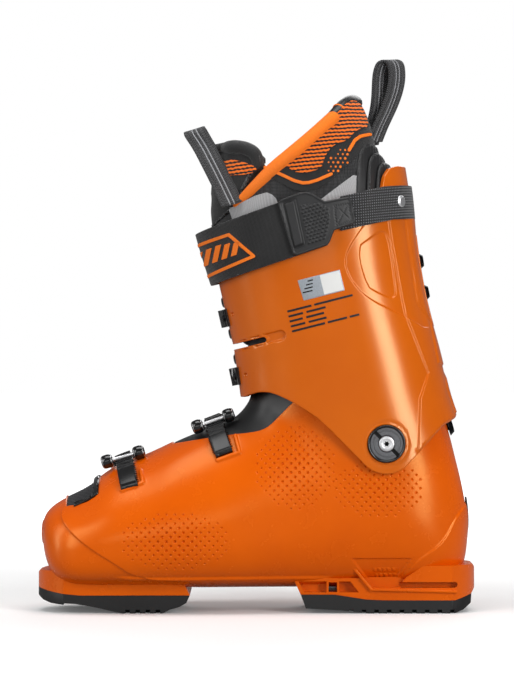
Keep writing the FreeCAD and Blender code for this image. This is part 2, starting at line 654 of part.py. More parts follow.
def bolt(name, solid, z, radius, height, shank):
    """Round-headed bolt that stands on a rear surface."""
    x = rear_at(solid, z)
    slope = rear_at(solid, z + 4) - rear_at(solid, z - 4)
    out = V(8, 0, -slope).normalize()
    turn = FreeCAD.Rotation(UP, out)
    base = V(x, 0, z)
    head = doc.addObject("Part::Cone", name + "_head")
    head.setExpression("Radius1", radius)
    head.setExpression("Radius2", radius + " * 0.7")
    head.setExpression("Height", height)
    head.Placement = FreeCAD.Placement(base, turn)
    stem = doc.addObject("Part::Cylinder", name + "_stem")
    stem.setExpression("Radius", radius + " * 0.42")
    stem.Height = shank
    stem.Placement = FreeCAD.Placement(base - out * (shank - 0.2), turn)
    socket = doc.addObject("Part::Prism", name + "_socket")
    socket.Polygon = 6
    socket.setExpression("Circumradius", radius + " * 0.4")
    socket.setExpression("Height", height)
    socket.Placement = FreeCAD.Placement(base + out * size("bolt_head") * 0.45, turn)
    joined = doc.addObject("Part::MultiFuse", name + "_joined")
    joined.Shapes = [head, stem]
    cut = doc.addObject("Part::Cut", name)
    cut.Base = joined
    cut.Tool = socket
    return cut


bolt_low = bolt("bolt_low", plate_skin, 229.5, "Sizes.bolt_radius", "Sizes.bolt_head", 6)
bolt_high = bolt("bolt_high", plate_skin, 252, "Sizes.bolt_radius", "Sizes.bolt_head", 6)
spine_bolts = doc.addObject("Part::Compound", "spine_bolts")
spine_bolts.Links = [bolt_low, bolt_high]
keep(spine_bolts, "spine_bolts")
keep(bolt("heel_bolt", outer, 132.6, "Sizes.bolt_radius * 1.3", "Sizes.bolt_head * 1.4", 4), "heel_bolt")

oval = Part.Ellipse(V(100, 0, 69.7), 12, 8)
oval.Axis = BACK
oval.AngleXU = 0
bumper_face = Part.Face(Part.Wire([oval.toShape()]))
bumper = shell_skin(-1.4).common(bumper_face.extrude(BACK * 90)).cut(outer)
feature("heel_bumper", bumper)

spoiler_zone = slab([(74, 284), (103, 284), (104, 300), (101, 318), (92, 323), (87, 335), (74, 337)], 37)
spoiler = collar_skin(-7).cut(collar_skin(-0.5)).common(spoiler_zone).cut(cuff_outer.common(cuff))
feature("rear_spoiler", spoiler)

LABEL = [(29, 236.8), (58.6, 244.4), (62.2, 229.9), (33.3, 222.6)]
label = cuff_skin(-size("label_thick")).common(half_slab(LABEL, -1)).cut(cuff_outer)
feature("info_label", label)

# ---------------------------------------------------------------- pull loops and piping


def webbing(path, across, thick):
    """Flat webbing that follows a path, always as wide as the vector across."""
    frames = []
    for i, point in enumerate(path):
        ahead = path[min(i + 1, len(path) - 1)] - path[max(i - 1, 0)]
        normal = ahead.cross(across).normalize() * thick / 2
        half = across / 2
        corners = [point - half - normal, point + half - normal, point + half + normal, point - half + normal]
        frames.append(Part.makePolygon(corners + [corners[0]]))
    return Part.makeLoft(frames, True, True)


loop_across = V(0.867, 0, 0.5) * size("loop_width")
TONGUE_LOOP = [V(-17.5, -39.5, 296), V(-26, -32.5, 312), V(-33.5, -22.5, 328), V(-41, -18, 338.5)]
TONGUE_LOOP += [V(-46.5, -15.5, 345), V(-47.5, -13, 346.2), V(-46, -10.6, 344.6), V(-36.5, -9, 336.5)]
feature("tongue_loop", webbing(TONGUE_LOOP, loop_across * 0.88, size("loop_thick")))
HEEL_LOOP = [(84.5, 343), (86.5, 356), (88.6, 372), (89.4, 387), (92, 395), (96, 398), (100.4, 394.5)]
HEEL_LOOP += [(102.4, 387), (101.6, 375), (97.4, 361), (91.4, 349), (87.6, 341)]
half_thick = size("loop_thick") / 2
path = Part.BSplineCurve()
path.interpolate([V(x, 0, z) for x, z in HEEL_LOOP])
sides = [[], []]
for k in range(25):
    t = path.FirstParameter + (path.LastParameter - path.FirstParameter) * k / 24
    ahead = V(*path.tangent(t)[0])
    for side, offset in zip(sides, (half_thick, -half_thick)):
        side.append(path.value(t) + ahead.cross(SIDE) * offset)
outline = sides[0] + sides[1][::-1]
heel_across = V(0.3, 0.954, 0) * size("loop_width")
heel_face = Part.Face(Part.makePolygon(outline + [outline[0]]))
heel_face.translate(heel_across * -0.5)
feature("heel_loop", heel_face.extrude(heel_across))

piping_radius = size("piping_radius")
mid_collar = collar_skin(collar / 2)
tubes = []
for side in (-1, 1):
    stops = []
    for x, z in [(-13, 296.5), (10, 316), (32, 335), (52, 352.2)]:
        stops.append(V(x, side_at(mid_collar, x, z - 1, side), z))
    for a, b in zip(stops, stops[1:]):
        tubes.append(Part.makeCylinder(piping_radius, (b - a).Length, a, b - a))
    tubes += [Part.makeSphere(piping_radius, stop) for stop in stops]
medial_tubes = fuse_all([tube for tube in tubes if tube.CenterOfMass.y < 0])
lateral_tubes = fuse_all([tube for tube in tubes if tube.CenterOfMass.y > 0])
feature("collar_piping", Part.makeCompound([medial_tubes, lateral_tubes]))

# ---------------------------------------------------------------- sole pads, cant discs, hinge


def term(const=0.0, **factors):
    """Value and spreadsheet expression of a constant plus factors times named sizes."""
    value = const + sum(factor * size(alias) for alias, factor in factors.items())
    text = " + ".join([repr(float(const))] + [f"({factor}) * Sizes.{alias}" for alias, factor in factors.items()])
    return value, text


def origin_plane(body, role):
    return next(item for item in body.Origin.OriginFeatures if item.Role == role)


def new_sketch(body, role, name):
    sketch = body.newObject("Sketcher::SketchObject", name)
    sketch.AttachmentSupport = [(origin_plane(body, role), "")]
    sketch.MapMode = "FlatFace"
    return sketch


def bound(sketch, constraint, text):
    index = sketch.addConstraint(constraint)
    sketch.setExpression(f"Constraints[{index}]", text)


def draw_outline(sketch, corners):
    """Closed outline whose corners are tied to the sheet by distances from the sketch origin."""
    count = len(corners)
    first = sketch.GeometryCount
    for i, corner in enumerate(corners):
        following = corners[(i + 1) % count]
        start = V(corner[0][0], corner[1][0], 0)
        end = V(following[0][0], following[1][0], 0)
        sketch.addGeometry(Part.LineSegment(start, end), False)
    for i in range(count):
        line, before = first + i, first + (i - 1) % count
        sketch.addConstraint(Sketcher.Constraint("Coincident", before, 2, line, 1))
        for kind, (value, text) in zip(("DistanceX", "DistanceY"), corners[i]):
            bound(sketch, Sketcher.Constraint(kind, -1, 1, line, 1, value), text)


def draw_circle(sketch, text, radius):
    index = sketch.GeometryCount
    sketch.addGeometry(Part.Circle(V(0, 0, 0), UP, radius), False)
    sketch.addConstraint(Sketcher.Constraint("Coincident", index, 3, -1, 1))
    bound(sketch, Sketcher.Constraint("Radius", index, radius), text)


def pad(body, sketch, name, text, symmetric=False):
    made = body.newObject("PartDesign::Pad", name)
    made.Profile = sketch
    made.SideType = "Symmetric" if symmetric else "One side"
    made.setExpression("Length", text)
    body.Tip = made
    doc.recompute()
    return made


def pocket(body, sketch, name, text=None, reverse=False):
    """Pocket that must remove material."""
    before = body.Shape.Volume
    made = body.newObject("PartDesign::Pocket", name)
    made.Profile = sketch
    made.Reversed = reverse
    if text:
        made.setExpression("Length", text)
    else:
        made.Type = "ThroughAll"
    body.Tip = made
    doc.recompute()
    if body.Shape.Volume >= before - 0.01:
        raise ValueError(name + " removes nothing")
    return made


def sole_pad(name, profile, notch_xs, pitch, centre_x, radius, back_x):
    """Rubber pad: side outline padded across the boot, tread notches, trimmed to its plan outline."""
    body = doc.addObject("PartDesign::Body", name + "_body")
    side = new_sketch(body, "XZ_Plane", name + "_side")
    draw_outline(side, profile)
    pad(body, side, name + "_pad", "Sizes.sole_width", True)
    notches = new_sketch(body, "XY_Plane", name + "_notch")
    for edge in (1, -1):
        rows = [term(8, sole_width=-0.5), term(-4, sole_width=-0.5)]
        rows = [(edge * value, f"{edge} * ({text})") for value, text in rows]
        columns = [term(notch_xs), term(notch_xs + 3.2)]
        corners = [(columns[0], rows[0]), (columns[1], rows[0]), (columns[1], rows[1]), (columns[0], rows[1])]
        draw_outline(notches, corners)
    first = pocket(body, notches, name + "_notches", "2.6", True)
    pattern = body.newObject("PartDesign::LinearPattern", name + "_tread")
    pattern.Originals = [first]
    pattern.Direction = (notches, ["H_Axis"])
    pattern.Occurrences = pitch[1]
    pattern.Length = pitch[0] * (pitch[1] - 1)
    body.Tip = pattern
    round_end = doc.addObject("Part::Cylinder", name + "_round")
    round_end.Radius = radius
    round_end.Height = 40
    round_end.Placement.Base = V(centre_x, 0, -1)
    square = doc.addObject("Part::Box", name + "_square")
    square.Length = abs(back_x - centre_x)
    square.Width = 2 * radius
    square.Height = 40
    square.Placement.Base = V(min(centre_x, back_x), -radius, -1)
    outline = doc.addObject("Part::MultiFuse", name + "_outline")
    outline.Shapes = [round_end, square]
    trimmed = doc.addObject("Part::Common", name)
    trimmed.Base = body
    trimmed.Tool = outline
    return trimmed


TOE_PAD = [
    (term(sole_length=-0.5), term(11.5)),
    (term(-153), term(8.7)),
    (term(-147), term(7)),
    (term(-137.4), term(6.2)),
    (term(-137), term(7.2)),
    (term(-129), term(6.8)),
    (term(-114), term(4.2)),
    (term(-103), term(1.6)),
    (term(toe_touch_front=1), term(0)),
    (term(toe_touch_back=1), term(0)),
    (term(5, toe_touch_back=1), term(2.6)),
    (term(12, toe_touch_back=1), term(4.6)),
    (term(17, toe_touch_back=1), term(7.4)),
    (term(19.5, toe_touch_back=1), term(-0.05, pad_top=1)),
    (term(-126), term(-0.05, pad_top=1)),
    (term(-140), term(14.15)),
    (term(-150), term(15.75)),
    (term(sole_length=-0.5), term(17.15)),
]
HEEL_PAD = [
    (term(31.6), term(13.35)),
    (term(35.2), term(3.6)),
    (term(60), term(2.2)),
    (term(heel_touch_front=1), term(0)),
    (term(heel_touch_back=1), term(0)),
    (term(7, heel_touch_back=1), term(2.2)),
    (term(-3.5, sole_length=0.5), term(6.4)),
    (term(-3, sole_length=0.5), term(12.9)),
    (term(142), term(-0.05, heel_pad_top=1)),
    (term(90), term(-0.05, heel_pad_top=1)),
    (term(78), term(9.95)),
    (term(56), term(13.35)),
]
SCREWS = {"toe": [(-120, -16), (-120, 16), (-62, -18), (-62, 18)]}
SCREWS["heel"] = [(48, -18), (48, 18), (128, -18), (128, 18)]
HEAD_BOTTOM = {"toe": 8.2, "heel": 5.4}
toe_raw = sole_pad("toe_pad_raw", TOE_PAD, -93.4, (7.2, 4), -half_length + 40, 40, -46)
heel_raw = sole_pad("heel_pad_raw", HEEL_PAD, 66, (9, 9), half_length - 42, 42, 27)
for end, raw in (("toe", toe_raw), ("heel", heel_raw)):
    holes, screws = [], []
    for k, (x, y) in enumerate(SCREWS[end]):
        low = HEAD_BOTTOM[end]
        well = doc.addObject("Part::Cylinder", f"{end}_well_{k}")
        well.setExpression("Radius", "Sizes.pad_screw + 0.4")
        well.Height = low + 3.8
        well.Placement.Base = V(x, y, -2)
        head = doc.addObject("Part::Cylinder", f"{end}_head_{k}")
        head.setExpression("Radius", "Sizes.pad_screw")
        head.Height = 1.8
        head.Placement.Base = V(x, y, low)
        stem = doc.addObject("Part::Cylinder", f"{end}_stem_{k}")
        stem.setExpression("Radius", "Sizes.pad_screw * 0.5")
        stem.Height = 9
        stem.Placement.Base = V(x, y, low + 1)
        socket = doc.addObject("Part::Prism", f"{end}_socket_{k}")
        socket.setExpression("Circumradius", "Sizes.pad_screw * 0.5")
        socket.Height = 1
        socket.Placement.Base = V(x, y, low - 0.1)
        solid = doc.addObject("Part::MultiFuse", f"{end}_solid_{k}")
        solid.Shapes = [head, stem]
        screw = doc.addObject("Part::Cut", f"{end}_screw_{k}")
        screw.Base = solid
        screw.Tool = socket
        screws.append(screw)
        holes.append(well)
        stem_hole = doc.addObject("Part::Cylinder", f"{end}_stem_hole_{k}")
        stem_hole.setExpression("Radius", "Sizes.pad_screw * 0.5 + 0.05")
        stem_hole.Height = 30
        stem_hole.Placement.Base = V(x, y, -2)
        holes.append(stem_hole)
    well_group = doc.addObject("Part::Compound", f"{end}_wells")
    well_group.Links = holes
    sole = doc.addObject("Part::Cut", f"{end}_sole")
    sole.Base = raw
    sole.Tool = well_group
    keep(sole, f"{end}_sole")
    group = doc.addObject("Part::Compound", f"{end}_sole_screws")
    group.Links = screws
    keep(group, f"{end}_sole_screws")
    doc.recompute()
    for x, y in SCREWS[end]:
        bore = Part.makeCylinder(size("pad_screw") * 0.5 + 0.05, HEAD_BOTTOM[end] + 10.1, V(x, y, 0))
        lower_shell = lower_shell.cut(bore)

for side, name in ((-1, "medial"), (1, "lateral")):
    around = Part.makeCylinder(size("disc_radius"), 100, PIVOT, SIDE * side)
    box = outer.common(around).BoundBox
    seat = max(abs(y) for y in (box.YMin, box.YMax)) + 0.3
    wall = abs(side_at(inner, PIVOT.x, PIVOT.z, side))
    outward = FreeCAD.Rotation(UP, SIDE * side)
    disc = doc.addObject("PartDesign::Body", name + "_cant_disc")
    rim = new_sketch(disc, "XY_Plane", name + "_rim")
    draw_circle(rim, "Sizes.disc_radius", size("disc_radius"))
    pad(disc, rim, name + "_plate", "Sizes.disc_thick")
    shank = new_sketch(disc, "XY_Plane", name + "_shank")
    draw_circle(shank, "Sizes.screw_shank + 0.06", size("screw_shank") + 0.06)
    pocket(disc, shank, name + "_bore", reverse=True)
    top = disc.newObject("Sketcher::SketchObject", name + "_face")
    top.AttachmentSupport = [(origin_plane(disc, "XY_Plane"), "")]
    top.MapMode = "FlatFace"
    top.AttachmentOffset = FreeCAD.Placement(V(0, 0, size("disc_thick")), FreeCAD.Rotation())
    draw_circle(top, "Sizes.disc_bore", size("disc_bore"))
    pocket(disc, top, name + "_counterbore", "2.6")
    for k, (start, stop) in enumerate(((6.6, 12.4), (-12.4, -6.6))):
        slot = disc.newObject("Sketcher::SketchObject", f"{name}_slot_{k}")
        slot.AttachmentSupport = [(origin_plane(disc, "XY_Plane"), "")]
        slot.MapMode = "FlatFace"
        slot.AttachmentOffset = FreeCAD.Placement(V(0, 0, size("disc_thick")), FreeCAD.Rotation(UP, 45))
        draw_outline(slot, [(term(x), term(y)) for x, y in ((start, -1), (stop, -1), (stop, 1), (start, 1))])
        pocket(disc, slot, f"{name}_slot_cut_{k}", "1.2")
    disc.Placement = FreeCAD.Placement(V(PIVOT.x, side * seat, PIVOT.z), outward)
    keep(disc, name + "_cant_disc")
    print(name, "disc from", seat, "to", seat + size("disc_thick"), "wall", wall)

pivot_screws, pivot_nuts, pockets = [], [], []
for side, name in ((-1, "medial"), (1, "lateral")):
    box = outer.common(Part.makeCylinder(size("disc_radius"), 100, PIVOT, SIDE * side)).BoundBox
    seat = max(abs(box.YMin), abs(box.YMax)) + 0.3
    wall = abs(side_at(inner, PIVOT.x, PIVOT.z, side))
    floor = seat + size("disc_thick") - 2.55
    inner_end = wall - 3
    base = V(PIVOT.x, side * floor, PIVOT.z)
    outward = FreeCAD.Rotation(UP, SIDE * side)
    head = doc.addObject("Part::Cylinder", name + "_screw_head")
    head.setExpression("Radius", "Sizes.screw_head")
    head.Height = 2.1
    head.Placement = FreeCAD.Placement(base, outward)
    shank = doc.addObject("Part::Cylinder", name + "_screw_shank")
    shank.setExpression("Radius", "Sizes.screw_shank")
    shank.Height = floor - inner_end + 0.5
    shank.Placement = FreeCAD.Placement(V(PIVOT.x, side * inner_end, PIVOT.z), outward)
    drive = doc.addObject("Part::Prism", name + "_screw_drive")
    drive.Polygon = 6
    drive.Circumradius = 2.1
    drive.Height = 3
    drive.Placement = FreeCAD.Placement(base + SIDE * side * 0.9, outward)
    solid = doc.addObject("Part::MultiFuse", name + "_screw_solid")
    solid.Shapes = [head, shank]
    screw = doc.addObject("Part::Cut", name + "_pivot_screw")
    screw.Base = solid
    screw.Tool = drive
    pivot_screws.append(screw)
    flange = Part.makeCylinder(size("nut_radius"), size("nut_thick") + 1.5, V(PIVOT.x, side * (wall - 1.8), PIVOT.z),
                               SIDE * side)
    barrel = Part.makeCylinder(nut_barrel, seat - wall, V(PIVOT.x, side * (wall - 0.5), PIVOT.z), SIDE * side)
    bore = Part.makeCylinder(size("screw_shank") + 0.02, 60, V(PIVOT.x, side * 20, PIVOT.z), SIDE * side)
    pivot_nuts.append(flange.fuse(barrel).cut(bore).cut(lower_shell).cut(outer.cut(inner).cut(
        Part.makeCylinder(nut_barrel, 300, PIVOT - SIDE * 150, SIDE))))
    pockets.append(Part.makeCylinder(size("nut_radius") + 0.5, 40, V(PIVOT.x, side * (wall - 3.4), PIVOT.z),
                                     SIDE * side))
screw_group = doc.addObject("Part::Compound", "pivot_screws")
screw_group.Links = pivot_screws
keep(screw_group, "pivot_screws")
feature("pivot_nuts", Part.makeCompound(pivot_nuts))
feature("liner_foot", cut_all(liner_foot, pockets))
feature("lower_shell", lower_shell)
feature("shell_rivets", Part.makeCompound(shell_heads))
feature("cuff_rivets", Part.makeCompound(cuff_heads))

# ---------------------------------------------------------------- check and export

doc.recompute()
for obj in doc.Objects:
    if "Invalid" in obj.State or "Error" in obj.State:
        raise ValueError(f"{obj.Label}: {obj.State}")
for obj in SUBPARTS:
    if obj.Shape.isNull() or not obj.Shape.isValid() or obj.Shape.Volume <= 0:
        raise ValueError(obj.Label + " is not a valid solid")
    obj.Shape.exportStep(f"parts/{obj.Label}.step")
    print(obj.Label, round(obj.Shape.Volume), len(obj.Shape.Solids))
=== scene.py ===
import math

import bmesh
import bpy
import numpy as np
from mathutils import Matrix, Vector
from mathutils.bvhtree import BVHTree


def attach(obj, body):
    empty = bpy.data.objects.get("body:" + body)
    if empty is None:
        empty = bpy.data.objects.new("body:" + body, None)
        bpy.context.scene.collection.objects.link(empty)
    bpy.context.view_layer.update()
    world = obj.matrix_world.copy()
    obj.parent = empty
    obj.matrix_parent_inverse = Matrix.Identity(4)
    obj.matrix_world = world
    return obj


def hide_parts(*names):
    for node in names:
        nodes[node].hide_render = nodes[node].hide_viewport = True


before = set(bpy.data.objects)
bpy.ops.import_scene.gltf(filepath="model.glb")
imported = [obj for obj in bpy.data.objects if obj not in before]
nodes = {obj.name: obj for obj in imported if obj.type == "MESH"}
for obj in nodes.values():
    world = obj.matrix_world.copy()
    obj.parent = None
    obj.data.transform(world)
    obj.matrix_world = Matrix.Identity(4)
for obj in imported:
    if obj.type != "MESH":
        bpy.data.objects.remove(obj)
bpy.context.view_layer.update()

# Alpine ski boot for the right foot. Sizes here are in millimetres and become metres when a mesh is
# made. +X points to the heel, +Y to the outer side, +Z up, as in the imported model.

MM = 0.001
TINY = 1e-12  # keeps a division by zero away
SNAP = 0.45  # share of a cell within which a grid point moves onto a border
FLAT = 0.02  # a zone that changes less than this per millimetre, squared, has no border there

# ---------------------------------------------------------------- surfaces through rings


def ring(station, quarter):
    """Closed super-ellipse of one station, evenly spaced by length: rear, outer side, front, inner side."""
    (ax, az), (bx, bz), middle, medial, lateral, power_a, power_b = station
    a, b = np.array([ax, 0.0, az]), np.array([bx, 0.0, bz])
    centre = b + (a - b) * middle
    t = np.linspace(0, math.pi / 2, 260)
    rows = []
    quarters = ((b, power_b, lateral, 1), (a, power_a, lateral, -1), (a, power_a, -medial, 1))
    for end, power, half, way in quarters + ((b, power_b, -medial, -1),):
        along = np.cos(t) ** (2 / power)
        aside = np.sin(t) ** (2 / power)
        curve = centre + np.outer(along, end - centre) + np.outer(aside, [0, half, 0])
        curve = curve[::way]
        length = np.concatenate([[0], np.cumsum(np.linalg.norm(np.diff(curve, axis=0), axis=1))])
        marks = np.linspace(0, length[-1], quarter + 1)[:-1]
        rows.append(np.stack([np.interp(marks, length, curve[:, i]) for i in range(3)], 1))
    return np.concatenate(rows)


def inset(station, depth, stretch=0.0):
    """Station at a depth inside the surface, moved towards the heel by stretch."""
    (ax, az), (bx, bz), middle, medial, lateral, power_a, power_b = station
    length = math.hypot(ax - bx, az - bz)
    dx, dz = (ax - bx) / length * depth, (az - bz) / length * depth
    ends = ((ax - dx + stretch, az - dz), (bx + dx + stretch, bz + dz))
    return (*ends, middle, medial - depth, lateral - depth, power_a, power_b)


def spline(t, values, at):
    """Natural cubic spline through values at t, worked out at the places in at."""
    count, h = len(t), np.diff(t)
    flat = values.reshape(count, -1)
    left, right = np.eye(count), np.zeros_like(flat)
    for i in range(1, count - 1):
        left[i, i - 1:i + 2] = h[i - 1], 2 * (h[i - 1] + h[i]), h[i]
        right[i] = 6 * ((flat[i + 1] - flat[i]) / h[i] - (flat[i] - flat[i - 1]) / h[i - 1])
    m = np.linalg.solve(left, right)
    k = np.clip(np.searchsorted(t, at) - 1, 0, count - 2)
    hk, a, b = h[k][:, None], (t[k + 1] - at)[:, None], (at - t[k])[:, None]
    out = m[k] * a**3 / (6 * hk) + m[k + 1] * b**3 / (6 * hk)
    out += (flat[k] / hk - m[k] * hk / 6) * a + (flat[k + 1] / hk - m[k + 1] * hk / 6) * b
    return out.reshape(len(at), *values.shape[1:])


def grid(stations, cell):
    """Points of the smooth surface through the stations' rings, about one cell apart."""
    around = np.array([ring(s, 60) for s in stations])
    perimeter = np.linalg.norm(np.diff(around, axis=1), axis=2).sum(1).max()
    quarter = int(perimeter / cell / 4)
    rings = np.array([ring(s, quarter) for s in stations])
    steps = np.linalg.norm(np.diff(rings, axis=0), axis=2)
    t = np.concatenate([[0], np.cumsum(steps.mean(1))])
    rows = int(steps.sum(0).max() / cell)
    return spline(t, rings, np.linspace(0, t[-1], rows))


def grid_normals(points):
    """Unit normals of a grid that is closed round its rings, pointing away from each ring's middle."""
    along = np.gradient(points, axis=0)
    around = np.roll(points, -1, 1) - np.roll(points, 1, 1)
    normal = np.cross(along, around)
    normal /= np.linalg.norm(normal, axis=2, keepdims=True) + 1e-9
    away = points - points.mean(1, keepdims=True)
    if (normal * away).sum() < 0:
        normal = -normal
    return normal


def line_distance(points, x, z):
    """Distance from a side-view polyline."""
    best = np.full(x.shape, 1e9)
    for (x1, z1), (x2, z2) in zip(points, points[1:]):
        ex, ez = x2 - x1, z2 - z1
        t = np.clip(((x - x1) * ex + (z - z1) * ez) / (ex * ex + ez * ez + TINY), 0, 1)
        best = np.minimum(best, np.hypot(x - x1 - t * ex, z - z1 - t * ez))
    return best


def depth_in(polygon, x, z):
    """Distance inside a side-view polygon; negative outside it."""
    corners = [*polygon, polygon[0]]
    inside = np.zeros(x.shape, bool)
    for (x1, z1), (x2, z2) in zip(corners, corners[1:]):
        inside ^= ((z1 > z) != (z2 > z)) & (x < (x2 - x1) * (z - z1) / ((z2 - z1) or TINY) + x1)
    best = line_distance(corners, x, z)
    return np.where(inside, best, -best)


def ramp(low, high, value):
    """Smooth step from 0 at low to 1 at high; low may be the greater."""
    t = np.clip((value - low) / (high - low), 0, 1)
    return t * t * (3 - 2 * t)


def rounded(points, turns=2):
    """Polyline or polygon with its corners cut smooth; the ends stay."""
    for _ in range(turns):
        cut = [points[0]]
        for (x1, z1), (x2, z2) in zip(points, points[1:]):
            cut.append((x1 * 0.75 + x2 * 0.25, z1 * 0.75 + z2 * 0.25))
            cut.append((x1 * 0.25 + x2 * 0.75, z1 * 0.25 + z2 * 0.75))
        points = cut + [points[-1]]
    return points


def arc(cx, cy, radius, start, stop, count):
    """Points of an arc between two angles in degrees."""
    turns = [math.radians(start + (stop - start) * k / (count - 1)) for k in range(count)]
    return [(cx + radius * math.cos(t), cy + radius * math.sin(t)) for t in turns]


def oval(left, right, low, high):
    """Outline of a slot with half-round ends."""
    radius, middle = (high - low) / 2, (high + low) / 2
    return arc(right - radius, middle, radius, -90, 90, 7) + arc(left + radius, middle, radius, 90, 270, 7)


def trim(points, normals, keep, cell, closed=True):
    """Vertices, normals and faces of a grid where keep is positive, its border laid on keep = 0."""
    rows, cols = keep.shape
    down = np.gradient(points, axis=0)
    across = (np.roll(points, -1, 1) - np.roll(points, 1, 1)) / 2
    if not closed:
        across = np.gradient(points, axis=1)
    fu = np.gradient(keep, axis=0)
    fv = (np.roll(keep, -1, 1) - np.roll(keep, 1, 1)) / 2 if closed else np.gradient(keep, axis=1)
    e, f, g = (down * down).sum(2), (down * across).sum(2), (across * across).sum(2)
    det = e * g - f * f + 1e-9
    slope = ((g * fu - f * fv) / det)[..., None] * down + ((e * fv - f * fu) / det)[..., None] * across
    power = (slope * slope).sum(2) + 1e-9
    near = (np.abs(keep) < SNAP * cell * np.sqrt(power)) & (power > FLAT)
    points = np.where(near[..., None], points - slope * (keep / power)[..., None], points)
    keep = np.where(near, 0.0, keep).ravel()
    flat, flat_n = points.reshape(-1, 3), normals.reshape(-1, 3)
    r, c = np.meshgrid(np.arange(rows - 1), np.arange(cols if closed else cols - 1), indexing="ij")
    a, b = r * cols + c, r * cols + (c + 1) % cols
    quads = np.stack([a, b, b + cols, a + cols], -1).reshape(-1, 4)
    sign = keep[quads]
    whole = (sign >= 0).all(1) & (sign > 0).any(1)
    faces = [list(q) for q in quads[whole]]
    extra, extra_n, made = [], [], {}
    for quad in quads[~whole & (sign > 0).any(1)]:
        face = []
        for i, j in zip(quad, np.roll(quad, -1)):
            if keep[i] >= 0:
                face.append(i)
            if keep[i] * keep[j] < 0:
                key = (min(i, j), max(i, j))
                if key not in made:
                    t = keep[i] / (keep[i] - keep[j])
                    made[key] = len(flat) + len(extra)
                    extra.append(flat[i] * (1 - t) + flat[j] * t)
                    extra_n.append(flat_n[i] * (1 - t) + flat_n[j] * t)
                face.append(made[key])
        if len(face) > 2:
            faces.append(face)
    if extra:
        flat, flat_n = np.concatenate([flat, extra]), np.concatenate([flat_n, extra_n])
    used = np.unique(np.concatenate([np.array(face) for face in faces]))
    index = np.full(len(flat), -1)
    index[used] = np.arange(len(used))
    faces = [[int(index[i]) for i in face] for face in faces]
    first = flat[used][faces[len(faces) // 2]]
    turned = np.cross(first[1] - first[0], first[2] - first[0])
    if turned @ flat_n[used][faces[len(faces) // 2][0]] < 0:
        faces = [face[::-1] for face in faces]
    return flat[used], flat_n[used], faces


def build(name, body, material, vertices, faces, outer=None, replaced=(), slot=None):
    """Mesh piece that rides on a body; outer marks the vertices that surface detail may move.

    The slot argument is not used.
    """
    mesh = bpy.data.meshes.new(name)
    mesh.from_pydata((np.asarray(vertices) * MM).tolist(), [], faces)
    mesh.shade_smooth()
    mesh.materials.append(material)
    if outer is not None:
        mesh.attributes.new("outer", "FLOAT", "POINT").data.foreach_set("value", outer.astype(np.float32))
    obj = bpy.data.objects.new(name, mesh)
    bpy.context.scene.collection.objects.link(obj)
    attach(obj, body)
    if replaced:
        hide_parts(*replaced)
    return obj


def strips(rows, around):
    """Faces between the neighbouring rings of a grid that is closed round its rings."""
    starts = [(k * around + j, k * around + (j + 1) % around) for k in range(rows - 1) for j in range(around)]
    return [(a, b, b + around, a + around) for a, b in starts]


def capped(rows, around):
    """The same with a face over each end."""
    last = (rows - 1) * around
    return strips(rows, around) + [tuple(range(around))[::-1], tuple(range(last, last + around))]


def grid_tree(points):
    """Search tree of a grid that is closed round its rings."""
    return BVHTree.FromPolygons(points.reshape(-1, 3).tolist(), strips(*points.shape[:2]))


def solid(name, body, material, trimmed, thick, edge, **more):
    """Closed wall from a trimmed surface: its outer side, its inner side and a rounded border."""
    top, normal, faces = trimmed
    directed = {(a, b) for face in faces for a, b in zip(face, face[1:] + face[:1])}
    border = [(a, b) for a, b in directed if (b, a) not in directed]
    out = np.zeros_like(top)
    for a, b in border:
        side = np.cross(top[b] - top[a], normal[a] + normal[b])
        length = np.linalg.norm(side)
        if length > 1e-9:
            out[a] += side / length
            out[b] += side / length
    rim = sorted({i for pair in border for i in pair})
    out[rim] /= np.linalg.norm(out[rim], axis=1, keepdims=True) + 1e-9
    place = {v: i for i, v in enumerate(rim)}
    turns = [math.radians(a) for a in (0, 30, 60, 90)]
    profile = [(-edge * (1 - math.sin(a)), edge * (1 - math.cos(a)), 0) for a in turns]
    profile += [(s, -d, 1) for s, d, _ in reversed(profile)]
    count = len(top)
    layers = []
    for s, d, far in profile:
        layers.append(top[rim] + out[rim] * s - normal[rim] * (d + far * thick))
    bottom = top - normal * thick
    top = top.copy()
    top[rim], bottom[rim] = layers[0], layers[-1]
    last = len(layers) - 1

    def at(layer, v):
        """Index of a border vertex in the outer side, in a layer of the rounding or in the inner side."""
        if layer in (0, last):
            return v + count * (layer == last)
        return 2 * count + (layer - 1) * len(rim) + place[v]

    bands = [[at(k, b), at(k, a), at(k + 1, a), at(k + 1, b)] for a, b in border for k in range(last)]
    back = [[v + count for v in face[::-1]] for face in faces]
    vertices = np.concatenate([top, bottom] + layers[1:-1])
    outer = np.zeros(len(vertices))
    outer[:count] = 1
    outer[rim] = 0
    return build(name, body, material, vertices, faces + back + bands, outer, **more)


def refine(obj, wanted, cuts=2):
    """Finer faces on the outer side where wanted(centres) is true."""
    bm = bmesh.new()
    bm.from_mesh(obj.data)
    layer = bm.verts.layers.float["outer"]
    centres = np.array([f.calc_center_median() for f in bm.faces]) / MM
    chosen = [f for f, marked in zip(bm.faces, wanted(centres)) if marked]
    edges = {e for f in chosen if all(v[layer] > 0.5 for v in f.verts) for e in f.edges}
    bmesh.ops.subdivide_edges(bm, edges=list(edges), cuts=cuts, use_grid_fill=True)
    bm.to_mesh(obj.data)
    bm.free()
    obj.data.shade_smooth()


